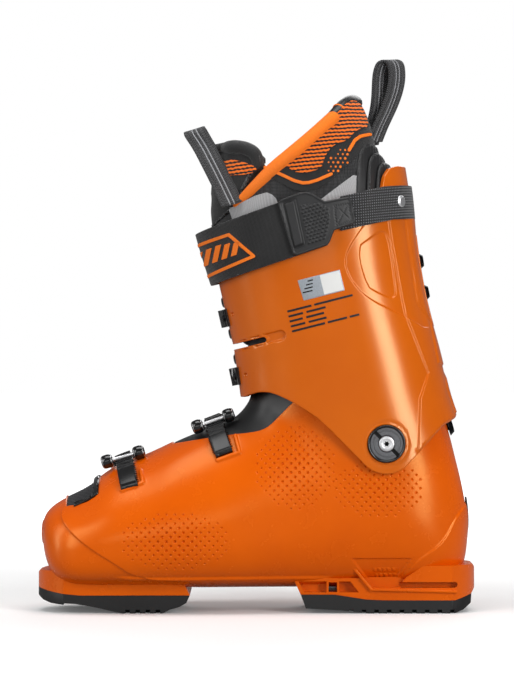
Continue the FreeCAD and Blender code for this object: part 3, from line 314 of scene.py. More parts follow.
def displace(obj, height):
    """Moves the outer side along its normals by height(points, normals), in millimetres."""
    mesh = obj.data
    count = len(mesh.vertices)
    co, no, outer = np.zeros(count * 3), np.zeros(count * 3), np.zeros(count)
    mesh.vertices.foreach_get("co", co)
    mesh.vertices.foreach_get("normal", no)
    mesh.attributes["outer"].data.foreach_get("value", outer)
    co, no = co.reshape(-1, 3) / MM, no.reshape(-1, 3)
    move = height(co, no) * (outer > 0.99)
    mesh.vertices.foreach_set("co", ((co + no * move[:, None]) * MM).ravel())
    mesh.update()


# ---------------------------------------------------------------- materials


class Nodes:
    """Short way to write a material's node graph."""

    def __init__(self, name):
        self.material = bpy.data.materials.new(name)
        self.material.use_nodes = True
        self.tree = self.material.node_tree
        self.shader = self.tree.nodes["Principled BSDF"]
        self.place = self.add("ShaderNodeTexCoord").outputs["Object"]

    def add(self, kind, inputs=(), **settings):
        node = self.tree.nodes.new(kind)
        for key, value in settings.items():
            setattr(node, key, value)
        for key, value in dict(inputs).items():
            self.put(node.inputs[key], value)
        return node

    def put(self, socket, value):
        if isinstance(value, bpy.types.NodeSocket):
            self.tree.links.new(value, socket)
        else:
            socket.default_value = value

    def math(self, operation, *values):
        return self.add("ShaderNodeMath", dict(enumerate(values)), operation=operation).outputs[0]

    def sine(self, value, period):
        return self.math("SINE", self.math("MULTIPLY", value, 2 * math.pi / period))

    def axes(self):
        """The three object coordinates."""
        return self.add("ShaderNodeSeparateXYZ", {"Vector": self.place}).outputs

    def noise(self, scale, detail, rough=0.5):
        inputs = {"Scale": scale, "Detail": detail, "Roughness": rough, "Vector": self.place}
        return self.add("ShaderNodeTexNoise", inputs).outputs["Fac"]

    def wave(self, scale, rotation, direction, distortion, detail_scale=1.0):
        inputs = {"Scale": scale, "Distortion": distortion, "Detail Scale": detail_scale}
        node = self.add("ShaderNodeTexWave", inputs, bands_direction=direction)
        turned = self.add("ShaderNodeMapping", {"Vector": self.place, "Rotation": rotation})
        self.put(node.inputs["Vector"], turned.outputs["Vector"])
        return node.outputs["Fac"]

    def range(self, value, low, high, to_low=0.0, to_high=1.0):
        inputs = {"Value": value, "From Min": low, "From Max": high, "To Min": to_low, "To Max": to_high}
        return self.add("ShaderNodeMapRange", inputs).outputs["Result"]

    def mix(self, factor, a, b):
        node = self.add("ShaderNodeMix", data_type="RGBA")
        self.put(node.inputs[0], factor)
        self.put(node.inputs[6], a)
        self.put(node.inputs[7], b)
        return node.outputs[2]

    def bump(self, height, distance, strength):
        inputs = {"Height": height, "Distance": distance, "Strength": strength}
        self.put(self.shader.inputs["Normal"], self.add("ShaderNodeBump", inputs).outputs["Normal"])

    def finish(self, **values):
        for key, value in values.items():
            self.put(self.shader.inputs[key.replace("_", " ")], value)
        return self.material


def rgb(text, times=1, plus=0):
    """Linear colour of a hex colour, made lighter or darker."""
    parts = [int(text[i:i + 2], 16) / 255 for i in (0, 2, 4)]
    linear = [p / 12.92 if p <= 0.04045 else ((p + 0.055) / 1.055) ** 2.4 for p in parts]
    return (*(times * p + plus for p in linear), 1.0)


def plastic(name, light, dark, rough, grain=0.00001, **values):
    """Moulded plastic: slight clouding of colour and gloss, and a fine moulded grain."""
    n = Nodes(name)
    cloud = n.noise(14, 4)
    colour = n.mix(n.range(cloud, 0.3, 0.7), rgb(light), rgb(dark))
    smudge = n.range(n.noise(60, 5, 0.6), 0.3, 0.8, rough * 0.95, rough * 1.06)
    n.bump(n.noise(1500, 2), grain, 0.5)
    return n.finish(Base_Color=colour, Roughness=smudge, **values)


def metal(name, colour, rough):
    """Metal with a fine brushed grain and a little unevenness in its polish."""
    n = Nodes(name)
    grain = n.noise(900, 3, 0.6)
    tint = n.mix(n.range(grain, 0.3, 0.7), rgb(colour), rgb(colour, 0.8))
    n.bump(grain, 0.00002, 0.4)
    gloss = n.range(grain, 0.2, 0.8, rough * 0.8, rough * 1.3)
    return n.finish(Base_Color=tint, Metallic=1.0, Roughness=gloss)


def rubber(name, colour, rough):
    """Rubber with a trace of dust and a fine grain."""
    n = Nodes(name)
    tint = n.mix(n.range(n.noise(30, 4, 0.6), 0.35, 0.75), rgb(colour), rgb(colour, 1.5, 0.002))
    n.bump(n.noise(700, 4, 0.6), 0.0001, 0.5)
    return n.finish(Base_Color=tint, Roughness=rough)


def woven(name, warp, weft, pitch, turn=(0, 0, 0), depth=0.0004, sheen=0.25):
    """Plain weave or knit: crossed waves decide which yarn is on top. Pitch and depth are in metres."""
    n = Nodes(name)
    a, b, c = (n.wave(1 / pitch / 2, turn, axis, 0.6, 2.0) for axis in "XZY")
    cross = n.math("MULTIPLY", n.math("MAXIMUM", a, c), b)
    height = n.math("ADD", cross, n.math("MULTIPLY", n.noise(1800, 4, 0.7), 0.25))
    tint = n.mix(n.range(cross, 0.15, 0.75), rgb(weft), rgb(warp))
    tint = n.mix(n.range(n.noise(25, 3), 0.3, 0.8, 0.0, 0.18), tint, (0.1, 0.1, 0.1, 1))
    n.bump(height, depth, 0.7)
    return n.finish(Base_Color=tint, Roughness=0.9, Sheen_Weight=sheen, Sheen_Roughness=0.4)


def loop_webbing():
    """Herringbone webbing with two silver stripes, laid along the strap's own length and width."""
    n = Nodes("loop_webbing")
    across = n.add("ShaderNodeAttribute", attribute_name="across").outputs["Fac"]
    along = n.add("ShaderNodeAttribute", attribute_name="along").outputs["Fac"]
    off_centre = n.math("ABSOLUTE", across)
    slanted = n.math("ADD", along, n.math("MULTIPLY", n.math("PINGPONG", off_centre, 0.125), 14.0))
    herringbone = n.sine(slanted, 1.5)
    silver = n.range(n.math("ABSOLUTE", n.math("SUBTRACT", off_centre, 0.1)), 0.034, 0.018)
    yarn = n.mix(n.range(herringbone, -0.6, 0.6), rgb("09090A"), rgb("353538"))
    n.bump(herringbone, 0.0004, 0.8)
    return n.finish(Base_Color=n.mix(silver, yarn, rgb("9B9CA0")), Roughness=0.6, Sheen_Weight=0.2)


def striped_knit():
    """Wavy orange stripes knitted into black."""
    n = Nodes("striped_knit")
    x, _, z = n.axes()
    height = n.math("SUBTRACT", z, n.math("MULTIPLY", x, 0.1))
    height = n.math("ADD", height, n.math("MULTIPLY", n.noise(95, 2), 0.0013))
    height = n.math("ADD", height, n.math("MULTIPLY", n.sine(x, 0.0044), 0.00008))
    turn = n.math("MULTIPLY", height, 2 * math.pi / 0.0027)
    beat = n.math("ADD", n.math("MULTIPLY", x, 2 * math.pi / 0.003), n.math("MULTIPLY", turn, 0.5))
    stripe = n.math("ADD", n.math("SINE", turn), n.math("MULTIPLY", n.math("SINE", beat), 0.35))
    stripe = n.range(stripe, -0.35, 0.1)
    yarn = n.wave(1 / 0.0018, (0, 0.3, 0), "X", 1.0)
    n.bump(n.math("ADD", stripe, n.math("MULTIPLY", yarn, 0.4)), 0.0006, 0.8)
    return n.finish(Base_Color=n.mix(stripe, rgb("0D0D0D"), rgb("FB7404")), Roughness=0.85, Sheen_Weight=0.1)


def ribbed_webbing():
    """Coarse webbing: rows of beads that run round the leg."""
    n = Nodes("ribbed_webbing")
    x, y, z = n.axes()
    ribs = n.sine(n.math("SUBTRACT", x, n.math("ABSOLUTE", y)), 0.0023)
    rows = n.sine(n.math("SUBTRACT", z, n.math("MULTIPLY", x, 0.12)), 0.0019)
    beads = n.math("MULTIPLY", n.range(ribs, -1, 1), n.range(rows, -1, 1))
    n.bump(beads, 0.0009, 0.9)
    tint = n.mix(n.range(beads, 0.35, 0.85), rgb("070708"), rgb("76767A"))
    return n.finish(Base_Color=tint, Roughness=0.7, Sheen_Weight=0.2)


ORANGE = plastic("shell_orange", "DE5C00", "D25200", 0.27,
                 Specular_IOR_Level=0.6, Specular_Tint=(1, 0.7, 0.24, 1))
CUFF_ORANGE = plastic("cuff_orange", "D06000", "C85800", 0.22,
                      Specular_IOR_Level=0.75, Specular_Tint=(1, 0.8, 0.46, 1))
GLOSS_BLACK = plastic("gloss_black", "060607", "0B0B0C", 0.16, Coat_Weight=0.4)
# Near-black for two uses: painted shade on the cut walls of the cant disc's slot, and the ink of the printed
# dashes on the cuff.
SLOT_SHADE_AND_PRINT_BLACK = plastic("slot_shade_and_print_black", "020202", "040404", 0.6)
SATIN_BLACK = plastic("satin_black", "0A0A0B", "101011", 0.26, 0.00004)
DAM_BLACK = plastic("dam_black", "09090A", "0E0E0F", 0.4)
WHITE = plastic("label_white", "E6E6E4", "DADAD8", 0.4)
SOLE = rubber("sole_rubber", "060607", 0.55)
SOFT_RUBBER = rubber("soft_rubber", "19191A", 0.5)
RUBBER_DAM = rubber("dam_rubber", "232325", 0.45)
SLEEVE = rubber("coated_sleeve", "141415", 0.38)
STEEL = metal("screw_steel", "F2F2F4", 0.36)
DARK_METAL = metal("dark_metal", "1C1C1E", 0.3)
SATIN_METAL = metal("disc_metal", "77787B", 0.45)
SILVER = metal("label_silver", "B9C0C8", 0.35)
KNIT = woven("black_knit", "1A1A1B", "0D0D0E", 0.0011)
MESH = woven("heathered_mesh", "3A3A3C", "141415", 0.0016, depth=0.0006)
GREY_CLOTH = woven("grey_cloth", "D2D2D3", "9A9A9C", 0.0009)
ELASTIC = woven("ribbed_elastic", "1B1B1C", "0C0C0D", 0.0014, turn=(0, math.radians(-14), 0), depth=0.0005)
PIPING = woven("orange_knit", "FF8400", "F47200", 0.0007, depth=0.0001, sheen=0.0)
LINING = woven("lining", "262628", "18181A", 0.0013)
INSOLE_CLOTH = woven("insole_cloth", "3C3C3F", "1E1E20", 0.0012, depth=0.0003)
WEBBING = loop_webbing()
STRIPED = striped_knit()
RIBBED = ribbed_webbing()

# ---------------------------------------------------------------- lower shell

# Stations of a surface, one closed ring each: the front and the rear or lower end in side view, the
# share of the way from the second end at which the ring is widest, the half-widths on the inner and the
# outer side, and how square the ring is towards each end.
FOREFOOT = [
    ((-154.6, 66), (-154.6, 47), 0.45, 17, 15, 2.6, 2.6),
    ((-152.6, 70.5), (-152.6, 38), 0.42, 28, 25, 2.5, 2.8),
    ((-147, 76.5), (-147, 26), 0.40, 39, 34, 2.3, 3.0),
    ((-137, 82.5), (-137, 19), 0.40, 47, 42, 2.15, 3.2),
    ((-122, 90), (-122, 17), 0.40, 52, 49, 2.0, 3.3),
    ((-104, 102.5), (-104, 17), 0.38, 55, 54, 1.9, 3.3),
    ((-82, 111.6), (-82, 17), 0.38, 56.5, 58, 1.85, 3.2),
    ((-60, 121.6), (-60, 17), 0.38, 56.5, 60, 1.85, 3.2),
]
INSTEP = [
    ((-44, 128.5), (-40, 17), 0.38, 55, 59, 1.85, 3.1),
    ((-27, 135), (-12, 17), 0.40, 52.5, 57, 1.9, 3.0),
    ((-15.5, 140.5), (18, 17), 0.44, 49.5, 53.5, 2.0, 2.9),
    ((-9, 147), (48, 17), 0.48, 47, 50, 2.1, 2.9),
    ((-5.5, 153), (78, 17), 0.50, 46, 47.5, 2.15, 2.9),
]
HEEL = [
    ((-4, 159), (106, 17), 0.50, 45.5, 46.5, 2.2, 2.8),
    ((-3.5, 164), (130, 19), 0.50, 45.5, 46, 2.2, 2.7),
    ((-3.2, 169), (146.5, 30), 0.50, 46, 46, 2.2, 2.5),
    ((-3.2, 174), (151.3, 48), 0.50, 46, 46, 2.2, 2.4),
    ((-3.4, 179), (152.4, 68), 0.50, 46.2, 46.2, 2.2, 2.3),
    ((-3.8, 184), (149.4, 90), 0.50, 46.5, 46.5, 2.2, 2.3),
    ((-4.4, 189), (144.6, 110), 0.50, 46.8, 46.8, 2.2, 2.3),
    ((-5.2, 194), (140, 128), 0.50, 47, 47, 2.2, 2.3),
    ((-6.2, 200), (134, 146), 0.50, 47.2, 47.2, 2.2, 2.3),
    ((-7.4, 207), (126.5, 165), 0.50, 47.4, 47.4, 2.2, 2.3),
]
SHELL = FOREFOOT + INSTEP + HEEL
TOE_X = FOREFOOT[0][1][0]
STRETCH_FROM = 0.6 * TOE_X  # in front of this, a surface inside the shell keeps clear of the toe too
NOSE = 1.7  # how far the domed toe stands in front of the first ring
NOSE_RINGS = (0.04, 0.2, 0.4, 0.6, 0.78, 0.92)  # sizes of the dome's rings
SHELL_WALL = 4.4
FLAP_EDGE = [(-60, 120.6), (-52, 122), (-34, 125.2), (-18, 127.6), (-4, 129.2), (3.5, 130.8), (9.5, 134.2),
             (17, 141.8), (24, 149), (33, 157), (44, 162), (60, 164)]
THROAT = FLAP_EDGE + [(200, 164), (200, 300), (-100, 300), (-64, 200)]
TOE_WINDOW = [(-136, 76.5), (-124.7, 78.5), (-115.5, 81.5), (-113.8, 87), (-115.2, 120), (-140, 120)]


def shell_grid(depth, cell):
    """Points of the shell's surface at a depth; six small rings close the toe but for a pinhole."""
    stations = []
    for station in SHELL:
        forward = (station[1][0] - STRETCH_FROM) / (TOE_X - STRETCH_FROM)
        stations.append(inset(station, depth, depth * max(0.0, min(1.0, forward))))
    points = grid(stations, cell)
    first = points[0]
    middle = first.mean(0)
    caps = [middle + (first - middle) * share + [-NOSE * math.sqrt(1 - share * share), 0, 0]
            for share in NOSE_RINGS]
    return np.concatenate([np.array(caps), points])


def trimmed_by(zone, points, cell):
    """The grid where zone(x, y, z) is positive."""
    return trim(points, grid_normals(points), zone(*np.moveaxis(points, -1, 0)), cell)


def shell_patch(name, material, depth, zone, thick, edge, cell, **more):
    """Piece cut from the shell's surface where zone(x, y, z) is positive."""
    trimmed = trimmed_by(zone, shell_grid(depth, cell), cell)
    return solid(name, "lower_boot", material, trimmed, thick, edge, **more)


def shell_zone(x, y, z):
    """The shell below the throat, with the toe window."""
    keep = -depth_in(rounded(THROAT[:12], 1) + THROAT[12:], x, z)
    return np.minimum(keep, np.maximum(-depth_in(TOE_WINDOW, x, z), np.abs(y) - 34))


DIMPLES = [(-57.5, 52.5, 39, 21), (27.5, 104, 30, 30), (86.5, 89.5, 32, 21)]  # middle and half sizes
DIMPLE_PITCH, DIMPLE_ROW = 6.0, 6.0 * 0.53
TOE_CREASE = rounded([(-124, 92), (-131.5, 83.5), (-139.3, 75.7), (-139.6, 67.9), (-131.5, 58.1),
                      (-117, 46.8), (-99.8, 36.5), (-86.3, 26.6), (-60, 24.6), (-20, 24.4)])
TOE_CAP = TOE_CREASE + [(-20, 0), (-190, 0), (-190, 92)]
HEEL_CREASE = rounded([(160, 84), (143.8, 71.5), (133.2, 50.3), (114.2, 38.3), (101.5, 23.5), (98, 10)])
HEEL_CAP = HEEL_CREASE + [(190, 10), (190, 84)]
REAR_EDGE = [(128, 146), (132.1, 133.6), (149.2, 80.6), (152, 72), (190, 72), (190, 160), (128, 160)]
FRAMES = [[(-82.4, 101.5), (-80.6, 93.4), (-95.6, 87.6)], [(-16.2, 131), (-11.9, 114.8), (-27.6, 109.2)]]


def dimple_field(x, z):
    """Depth of the round pits: they stand in staggered rows and shrink towards each field's edge."""
    deep = np.zeros(x.shape)
    for cx, cz, half_x, half_z in DIMPLES:
        u, w = x - cx, z - cz
        row = np.round(w / DIMPLE_ROW)
        col = np.round(u / DIMPLE_PITCH - (row % 2) / 2) + (row % 2) / 2
        px, pz = col * DIMPLE_PITCH, row * DIMPLE_ROW
        reach = np.hypot(px / half_x, pz / half_z)
        inward = 1 - np.clip(reach, 0, 1)
        size = 0.8 + 0.5 * inward
        pit = (0.8 + 0.6 * inward) * (1 - ramp(size * 0.35, size, np.hypot(u - px, w - pz)))
        deep = np.maximum(deep, np.where(reach < 1, pit, 0))
    return deep


def in_dimples(centres):
    """Marks what lies in the dimple fields of the two flanks."""
    x, y, z = centres.T
    near = np.zeros(len(centres), bool)
    for cx, cz, half_x, half_z in DIMPLES:
        near |= np.hypot((x - cx) / (half_x + 3), (z - cz) / (half_z + 3)) < 1
    return near & (np.abs(y) > 25)


def near_lines(lines, reach):
    """Marks what lies close to one of several side-view lines."""
    def wanted(centres):
        x, y, z = centres.T
        return np.min([line_distance(line, x, z) for line in lines], axis=0) < reach
    return wanted


PLATE = [(67.5, 39.6), (111, 39.6), (104.5, 31), (101, 26), (98, 20), (81.5, 20)]
PLATE_BARS = [[(84.6, 30.6), (98.8, 30.6)], [(86.2, 26.2), (99.8, 26.2)]]


def shell_relief(p, n):
    """Moulded lines, frames, size plate and pits of the shell."""
    x, y, z = p.T
    cap = ramp(-0.4, 0.4, depth_in(TOE_CAP, x, z))
    move = -1.2 * cap * (1 - ramp(-70, -40, x))
    move = move + 0.9 * ramp(-0.4, 0.4, depth_in(HEEL_CAP, x, z))
    move = move - 0.9 * ramp(-0.4, 0.4, depth_in(REAR_EDGE, x, z))
    skirt = ramp(27.0, 25.6, z) * ramp(-104, -86, x) * ramp(60, 40, x) * ramp(0.2, 0.6, np.abs(n[:, 1]))
    move = move + 1.3 * skirt
    for frame_line in FRAMES:
        ridge = 1 - ramp(0.8, 1.5, line_distance(frame_line, x, z))
        move = move + 1.6 * ridge * (y < 0)
    move = move - 1.4 * ramp(-0.3, 0.9, depth_in(PLATE, x, z))
    for bar in PLATE_BARS:
        dash = np.abs((x + 0.3 * z) % 3.4 - 1.7) < 1.2
        move = move + 0.6 * dash * (1 - ramp(1.0, 1.5, line_distance(bar, x, z)))
    flank = ramp(0.35, 0.6, np.abs(n[:, 1]))
    return move - dimple_field(x, z) * flank


points = shell_grid(0, 1.9)
shell_points, shell_normals, shell_faces = trimmed_by(shell_zone, points, 1.9)
toe_hole = list(range(points.shape[1]))
outward = np.cross(shell_points[1] - shell_points[0], shell_points[2] - shell_points[1])[0] < 0
shell_faces.append(toe_hole if outward else toe_hole[::-1])
shell = solid("lower_shell_wall", "lower_boot", ORANGE, (shell_points, shell_normals, shell_faces),
              SHELL_WALL, 0.7, replaced=["lower_shell"])
refine(shell, in_dimples, 4)
WELT_LINE = [(-100, 26.3), (50, 26.3)]
refine(shell, near_lines([TOE_CREASE, HEEL_CREASE, REAR_EDGE[:3], WELT_LINE, *FRAMES], 2.0), 2)
refine(shell, lambda centres: depth_in(PLATE, centres[:, 0], centres[:, 2]) > -1.5, 3)
displace(shell, shell_relief)

# ---------------------------------------------------------------- cuff

CUFF = [
    ((1, 78), (154, 104), 0.50, 51.2, 51.5, 2.3, 2.3),
    ((-5, 108), (148.5, 126), 0.50, 52, 52.3, 2.3, 2.3),
    ((-9, 135), (142.5, 143.5), 0.50, 52.8, 53.5, 2.3, 2.3),
    ((-12, 158), (137, 161), 0.50, 53.6, 55, 2.3, 2.3),
    ((-14.5, 176), (131.5, 184), 0.50, 54.4, 56.5, 2.25, 2.3),
    ((-18, 196), (125, 208), 0.50, 55.4, 58, 2.25, 2.3),
    ((-24, 222), (118.5, 236), 0.50, 56.5, 59.6, 2.2, 2.3),
    ((-30, 248), (113.6, 268), 0.50, 57.3, 60.6, 2.2, 2.3),
    ((-35, 270), (111, 297), 0.50, 57.8, 61, 2.2, 2.3),
    ((-38.5, 285), (107, 324), 0.50, 58, 61, 2.2, 2.3),
]
CUFF_WALL = 3.7
PIVOT = (92, 121.5)
PIVOT_BORE = 13.45
LOBE = arc(*PIVOT, 21.5, 225, 315, 10)
HEM = [(-60, 152), (-10.6, 153), (-4, 156.4), (4, 158), (12, 157), (24, 151.6), (33.5, 146), (46, 137.6)]
HEM += LOBE + [(142, 143.2), (200, 150)]
RIM = [(-60, 258), (-36, 265), (15, 283), (66, 291), (88, 296), (92, 316), (104, 320.5), (140, 318)]
FLEX = [(-40, 184.4), (-13, 190.6), (17, 198.2)]
FRONT_PITS = ((-17.5, 213.5), (-7.8, 170))  # two small pits at the front edge, on the inner side
FAMILIES = {"cuff": CUFF}
grids = {}


def family(name, depth, cell):
    """Grid at a depth inside one family of stations; each is worked out once."""
    key = (name, depth, cell)
    if key not in grids:
        grids[key] = grid([inset(s, depth) for s in FAMILIES[name]], cell)
    return grids[key]


def patch(name, material, base, depth, zone, thick, edge, cell, **more):
    """Piece of the cuff's body, cut from one of the surface families where zone(x, y, z) is positive."""
    trimmed = trimmed_by(zone, family(base, depth, cell), cell)
    return solid(name, "cuff_unit", material, trimmed, thick, edge, **more)


def within(polygon, side=0, turns=1):
    """Zone inside a side-view outline; side -1 keeps only the inner half of the boot."""
    outline = rounded(polygon + polygon[:1], turns)[:-1]
    if side:
        return lambda x, y, z: np.minimum(depth_in(outline, x, z), y * side)
    return lambda x, y, z: depth_in(outline, x, z)


def ribbon(points, half, side=0):
    """Zone of a narrow band along a side-view line, on both sides or on one."""
    if side:
        return lambda x, y, z: np.minimum(half - line_distance(points, x, z), y * side)
    return lambda x, y, z: half - line_distance(points, x, z)


def cuff_zone(x, y, z):
    """The cuff between its hem and rim, with its side slot, front slit and pivot holes."""
    keep = -depth_in(rounded(HEM, 1) + [(200, 0), (-60, 0)], x, z)
    keep = np.minimum(keep, -depth_in(rounded(RIM, 1) + [(140, 500), (-60, 500)], x, z))
    slot = line_distance([(-60, 180), (-13, 190.6), (5, 195)], x, z) - 1.9
    slit = np.maximum(np.abs(y - 10.5) - 1.5, x)
    hole = np.hypot(x - PIVOT[0], z - PIVOT[1]) - PIVOT_BORE
    return np.minimum(np.minimum(keep, slot), np.minimum(slit, hole))


PANEL = rounded([(92, 290), (82, 284), (66, 262), (62, 250), (66, 238), (78, 224.4), (105, 212), (119, 204)])
PANEL += [(150, 204), (150, 290)]
PANEL_IN = [(74, 262), (73, 252), (79, 233), (84, 229.5), (101, 222.6), (99, 240), (96, 262), (93, 272)]
PANEL_IN = rounded([*PANEL_IN, (88, 272), PANEL_IN[0]], 2)[:-1]
SIDE_EDGE = [(92, 300), (96.6, 265.9), (104.6, 222), (107.4, 208.5), (122.1, 171.3), (115.9, 153.2),
             (114.6, 120), (112, 100), (190, 100), (190, 300)]
SPINE = [(104, 300), (107.5, 274), (115, 222), (123.5, 208), (129, 178), (134.5, 176), (135.5, 160),
         (142, 142), (190, 142), (190, 300)]


def cuff_relief(p, n):
    """Flex groove, rear panel, edge lines and pivot seats of the cuff."""
    x, y, z = p.T
    groove = 1 - ramp(3.0, 3.8, line_distance(FLEX, x, z))
    move = -1.8 * groove * (y < 5)
    flank = ramp(0.3, 0.5, np.abs(n[:, 1]))
    move = move - 1.5 * ramp(-0.35, 0.35, depth_in(PANEL, x, z)) * flank
    move = move - 1.0 * ramp(-0.3, 0.3, depth_in(PANEL_IN, x, z)) * flank
    move = move + 1.2 * ramp(-0.4, 0.4, depth_in(SIDE_EDGE, x, z))
    move = move + 1.0 * ramp(-0.5, 0.5, depth_in(SPINE, x, z))
    for cx, cz in FRONT_PITS:
        move = move - 2.2 * (1 - ramp(0.9, 1.5, np.hypot((x - cx) * 1.3, z - cz))) * (y < 0)
    disc = np.hypot(x - PIVOT[0], z - PIVOT[1])
    return move - 0.6 * (1 - ramp(15.4, 16.4, disc))


cuff = patch("cuff_wall", CUFF_ORANGE, "cuff", 0, cuff_zone, CUFF_WALL, 0.7, 1.6, replaced=["cuff"])
refine(cuff, near_lines([PANEL, PANEL_IN + PANEL_IN[:1], SIDE_EDGE[:7], SPINE[:8]], 1.8), 2)
refine(cuff, near_lines([FLEX, [(-20, 213.5), (-13, 213.5)], [(-10, 170), (-5, 170)]], 4.6), 2)
displace(cuff, cuff_relief)

# ---------------------------------------------------------------- toe and heel blocks


def prism(corners, axis, low, high):
    """Outline made solid along Y (a side view) or Z (a plan)."""
    area = sum(u1 * w2 - u2 * w1 for (u1, w1), (u2, w2) in zip(corners, corners[1:] + corners[:1]))
    if (area > 0) != (axis == "Z"):
        corners = corners[::-1]
    spots = [(u, t, w) if axis == "Y" else (u, w, t) for t in (low, high) for u, w in corners]
    mesh = bpy.data.meshes.new("outline")
    mesh.from_pydata((np.array(spots) * MM).tolist(), [], capped(2, len(corners)))
    obj = bpy.data.objects.new("outline", mesh)
    bpy.context.scene.collection.objects.link(obj)
    return obj


def carve(obj, tool, operation="DIFFERENCE", inside=None):
    """Cuts a piece with a tool, which is used up; inside is the material of the cut faces."""
    modifier = obj.modifiers.new("carve", "BOOLEAN")
    if inside:
        tool.data.materials.append(inside)
        modifier.material_mode = "TRANSFER"
    modifier.object, modifier.operation, modifier.solver = tool, operation, "EXACT"
    bpy.context.view_layer.update()
    shaped = bpy.data.meshes.new_from_object(obj.evaluated_get(bpy.context.evaluated_depsgraph_get()))
    obj.modifiers.clear()
    obj.data = shaped
    bpy.data.objects.remove(tool)
    return obj


def bevelled(obj, width, angle, segments):
    """Rounds the edges sharper than an angle; width in millimetres."""
    bevel = obj.modifiers.new("edge", "BEVEL")
    bevel.width, bevel.segments = width * MM, segments
    bevel.limit_method, bevel.angle_limit = "ANGLE", math.radians(angle)


def softened(obj, width, angle=28, segments=3):
    """Rounded edges, with the shading kept even on the flat faces beside them."""
    bevelled(obj, width, angle, segments)
    obj.data.shade_smooth()
    obj.modifiers.new("shading", "WEIGHTED_NORMAL").keep_sharp = False


def on_shell(obj, name, width):
    """Makes a block a soft-edged orange piece of the shell."""
    obj.name = obj.data.name = name
    obj.data.materials.clear()
    obj.data.materials.append(ORANGE)
    softened(obj, width)
    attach(obj, "lower_boot")


def moulded(name, side, outline, cutters, width):
    """Block with a side outline and a plan outline, cut by side-view shapes given with their Y range."""
    block = carve(prism(side, "Y", -60, 60), prism(outline, "Z", -10, 80), "INTERSECT")
    for corners, low, high in cutters:
        carve(block, prism(corners, "Y", low, high))
    on_shell(block, name, width)


TOE_SIDE = [(-157.5, 17.2), (-157.5, 27.4), (-156, 29.3), (-153, 30), (-136, 30), (-129, 28), (-120, 25.2),
            (-104, 23.6), (-52, 22), (-47.5, 12.8), (-126, 12.8), (-140, 14.2), (-150, 15.8)]
TOE_PLAN = [(-46, -33.5), (-46, 33.5), (-130, 34.5)] + arc(-117.5, 0, 40, 120, 240, 25) + [(-130, -34.5)]
HEEL_SIDE = [(24, 26), (27.5, 22), (31.5, 13.4), (56, 13.4), (78, 10), (90, 9.4), (142, 9.4), (154.5, 13),
             (157.5, 17), (157.5, 31), (155.5, 34), (119, 34), (107, 26), (60, 25)]
HEEL_PLAN = [(115.5, 34.5), (24, 32.5), (24, -32.5), (115.5, -34.5)] + arc(115.5, 0, 42, -55, 55, 25)
GROOVE = oval(101.5, 143.5, 18.2, 22.4)
GROOVE_END = oval(134, 143.5, 18.2, 22.4)
BACK_NICK = oval(150.5, 160, 20, 23.4)
WINDOW = [(51.5, 15.2), (57.5, 15.2), (57.5, 22.2), (51.5, 22.2)]
FRONT_POCKET = [(34, 15), (50, 15), (50, 22.8), (30, 22.8)]
REAR_POCKET = [(59, 15), (73, 15), (67, 22.8), (59, 22.8)]
BESIDE_RIB = [(83.6, 18.6), (101, 18.6), (108, 27.4), (92, 60), (50, 60), (66.6, 38.4)]
RIB = [(66, 38.4), (82.3, 18.2), (143, 16.6), (143, 14.6), (81.2, 16.2), (64, 37.2)]
heel_cuts = [(WINDOW, -90, 90)]
# Cuts in both sides, by the distance from the middle plane at which they end.
CUT_FROM = ((25, [GROOVE, BACK_NICK]), (29.3, [BESIDE_RIB]), (26, [GROOVE_END, FRONT_POCKET, REAR_POCKET]))
for inner, shapes in CUT_FROM:
    for low, high in ((-90, -inner), (inner, 90)):
        heel_cuts += [(shape, low, high) for shape in shapes]
moulded("toe_lug_block", TOE_SIDE, TOE_PLAN, [], 0.9)
moulded("heel_lug_block", HEEL_SIDE, HEEL_PLAN, heel_cuts, 0.7)
for side, label in ((-1, "medial"), (1, "lateral")):
    on_shell(prism(RIB, "Y", *sorted((side * 29, side * 36.4))), f"heel_rib_{label}", 0.6)

# ---------------------------------------------------------------- dams, liner foot, insole


def lathe(name, body, material, centre, axis, profile, around=40, **more):
    """Turned piece; profile holds distances along the axis and radii.

    It has a cap on each end, or none if the profile ends where it starts.
    """
    axis = np.array(axis, float) / np.linalg.norm(axis)
    side = np.cross(axis, [0.3, 0.2, 0.9])
    side /= np.linalg.norm(side)
    other = np.cross(axis, side)
    turns = [2 * math.pi * k / around for k in range(around)]
    vertices = [np.array(centre) + axis * t + (side * math.cos(a) + other * math.sin(a)) * r
                for t, r in profile for a in turns]
    if profile[0] == profile[-1]:
        last = (len(profile) - 1) * around
        faces = [tuple(v % last for v in face) for face in strips(len(profile), around)]
        return build(name, body, material, vertices[:last], faces, **more)
    faces = capped(len(profile), around)
    return build(name, body, material, vertices, faces, **more)


# Cant discs with their rings and the pivot screws: distances from the middle plane, and radii.
RING = [(48, 11.7), (48, 13.3), (52.9, 13.3), (53.3, 13.0), (53.3, 12.5), (52.8, 11.7), (48, 11.7)]
FACE = [(48, 5.7), (48, 11.6), (52.4, 11.6), (52.7, 11.3), (52.7, 10.1), (52.2, 9.9), (52.2, 9.2),
        (52.7, 9.0), (52.7, 6.6), (52.4, 6.3), (52.0, 5.7), (48, 5.7)]
SCREW_HEAD = [(49, 5.45), (52.5, 5.45), (52.95, 5.2), (53.1, 4.6), (53.15, 3.4), (52.9, 3.0)]
# A thin dark disc laid on the floor of each screw's star recess: painted shade in the recess.
STAR_RECESS_SHADE = [(51.4, 2.2), (51.65, 2.2)]
pivot_x, pivot_z = PIVOT
STAR = [(pivot_x + r * math.cos(math.pi * k / 6), pivot_z + r * math.sin(math.pi * k / 6))
        for k, r in enumerate((2.1, 1.35) * 6)]
DISC_SLOT = [(pivot_x + u, pivot_z + w) for u, w in ((-10.1, 8.2), (-8.2, 10.1), (10.1, -8.2), (8.2, -10.1))]


def turned_on_pivot(name, body, material, side, profile, around, **more):
    """Turned piece on the ankle axis, on the inner (-1) or the outer (1) side."""
    return lathe(name, body, material, (pivot_x, 0, pivot_z), (0, side, 0), profile, around, **more)


